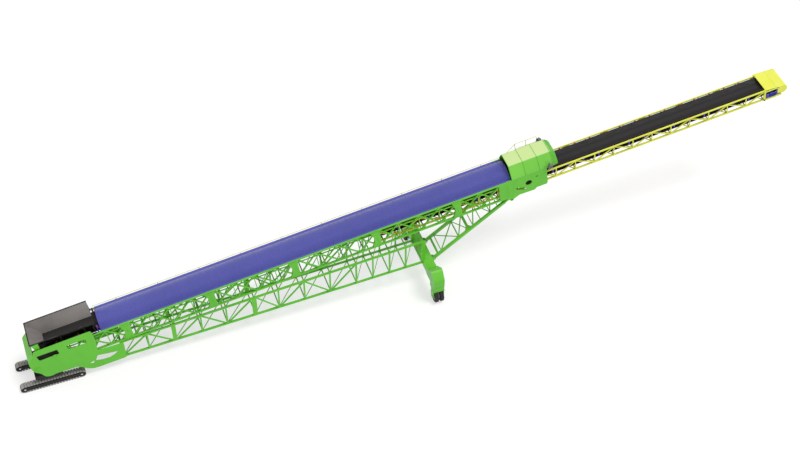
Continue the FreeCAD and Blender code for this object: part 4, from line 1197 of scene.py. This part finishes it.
stand_on_boom("nose_box", box_parts, yellow_paint, "yellow_paint", "head_box", body="inner_boom")

# Drive of the inner belt: a gearbox on the head drum's shaft and a finned
# motor with its fan cowl, both blue, hung inside the near cheek.
gear = [
    slab((25.95, -0.426, inner_axle - 0.16), (26.18, -0.35, inner_axle + 0.07), 0.02),
    slab((25.96, -0.4275, inner_axle - 0.15), (26.17, -0.426, inner_axle + 0.06), 0.0005),
    slab((25.72, -0.42, inner_axle - 0.03), (25.83, -0.35, inner_axle + 0.012), 0.006),
]
motor = [(0, 0.03), (0, 0.076), (0.012, 0.09), (0.07, 0.09), (0.072, 0.078)]
for x in np.arange(0.085, 0.33, 0.018):
    motor += [(x, 0.076), (x + 0.001, 0.092), (x + 0.008, 0.092), (x + 0.009, 0.076)]
motor += [(0.342, 0.078), (0.344, 0.095), (0.376, 0.095), (0.378, 0.04)]
place = [[(25.59, -0.385, inner_axle - 0.1), (1, 0, 0), (0, 1, 0), (0, 0, 1)]]
gear.append(copies(turned(motor, 24), place))
stand_on_boom("belt_drive", gear, blue_paint, None, body="inner_boom")

# Studio: a wide pale floor that keeps a faint shadow, even white all round,
# one broad lamp high in front, a little to the right, and the photo's camera.
FLOOR_REACH = 400.0
FLOOR_SHADE = 0.46
FLOOR_GLOW = 0.57
SKY_FILL = 0.72
WHITE = (1, 1, 1, 1)


def two_ways(web, unseen, seen, output):
    """Shows one shader to the camera and lights the object with another."""
    kinds = ("Is Camera Ray", "Is Glossy Ray", "Is Transmission Ray")
    camera, glossy, through = (web.node("ShaderNodeLightPath", output=kind) for kind in kinds)
    choice = web.node("ShaderNodeMixShader", {0: camera | glossy | through, 1: unseen, 2: seen})
    web.node(output, {"Surface": choice})


floor_mesh = bpy.data.meshes.new("floor")
corners = [(-1, -1), (1, -1), (1, 1), (-1, 1)]
floor_mesh.from_pydata(
    [(x * FLOOR_REACH, y * FLOOR_REACH, -0.001) for x, y in corners], [], [(0, 1, 2, 3)]
)
floor = bpy.data.objects.new("floor", floor_mesh)
bpy.context.scene.collection.objects.link(floor)
floor_finish = bpy.data.materials.new("studio_floor")
web = Web(floor_finish)
web.tree.nodes.clear()
soft_shade = (FLOOR_SHADE, FLOOR_SHADE * 0.985, FLOOR_SHADE * 0.98, 1)
bounce = web.node("ShaderNodeBsdfDiffuse", {0: (0.8, 0.8, 0.8, 1)})
soft = web.node("ShaderNodeBsdfDiffuse", {0: soft_shade})
glow = web.node("ShaderNodeEmission", {1: FLOOR_GLOW})
seen = web.node("ShaderNodeAddShader", {0: soft, 1: glow})
two_ways(web, bounce, seen, "ShaderNodeOutputMaterial")
floor_mesh.materials.append(floor_finish)

world = bpy.data.worlds.new("studio")
bpy.context.scene.world = world
web = Web(world)
web.tree.nodes.clear()
fill = web.node("ShaderNodeBackground", {0: WHITE, 1: SKY_FILL})
white = web.node("ShaderNodeBackground", {0: WHITE, 1: 1.0})
two_ways(web, fill, white, "ShaderNodeOutputWorld")

lamp = bpy.data.lights.new("key", "SUN")
lamp.energy = 1.5
lamp.angle = math.radians(20)
key = bpy.data.objects.new("key", lamp)
key.rotation_euler = Vector((0.35, -0.25, 1.0)).to_track_quat("Z", "Y").to_euler()
bpy.context.scene.collection.objects.link(key)

DOWN = 0.84977
ASIDE = 0.35045
camera = bpy.data.cameras.new("camera")
camera.sensor_width = 36
camera.lens = 66.80
camera.clip_end = 500
viewer = bpy.data.objects.new("camera", camera)
viewer.location = (-11.8023, -31.3152, 40.0)
ahead = Vector(
    (math.sin(ASIDE) * math.cos(DOWN), math.cos(ASIDE) * math.cos(DOWN), -math.sin(DOWN))
)
viewer.rotation_euler = ahead.to_track_quat("-Z", "Y").to_euler()
bpy.context.scene.collection.objects.link(viewer)
bpy.context.scene.camera = viewer
bpy.context.scene.view_settings.view_transform = "Standard"
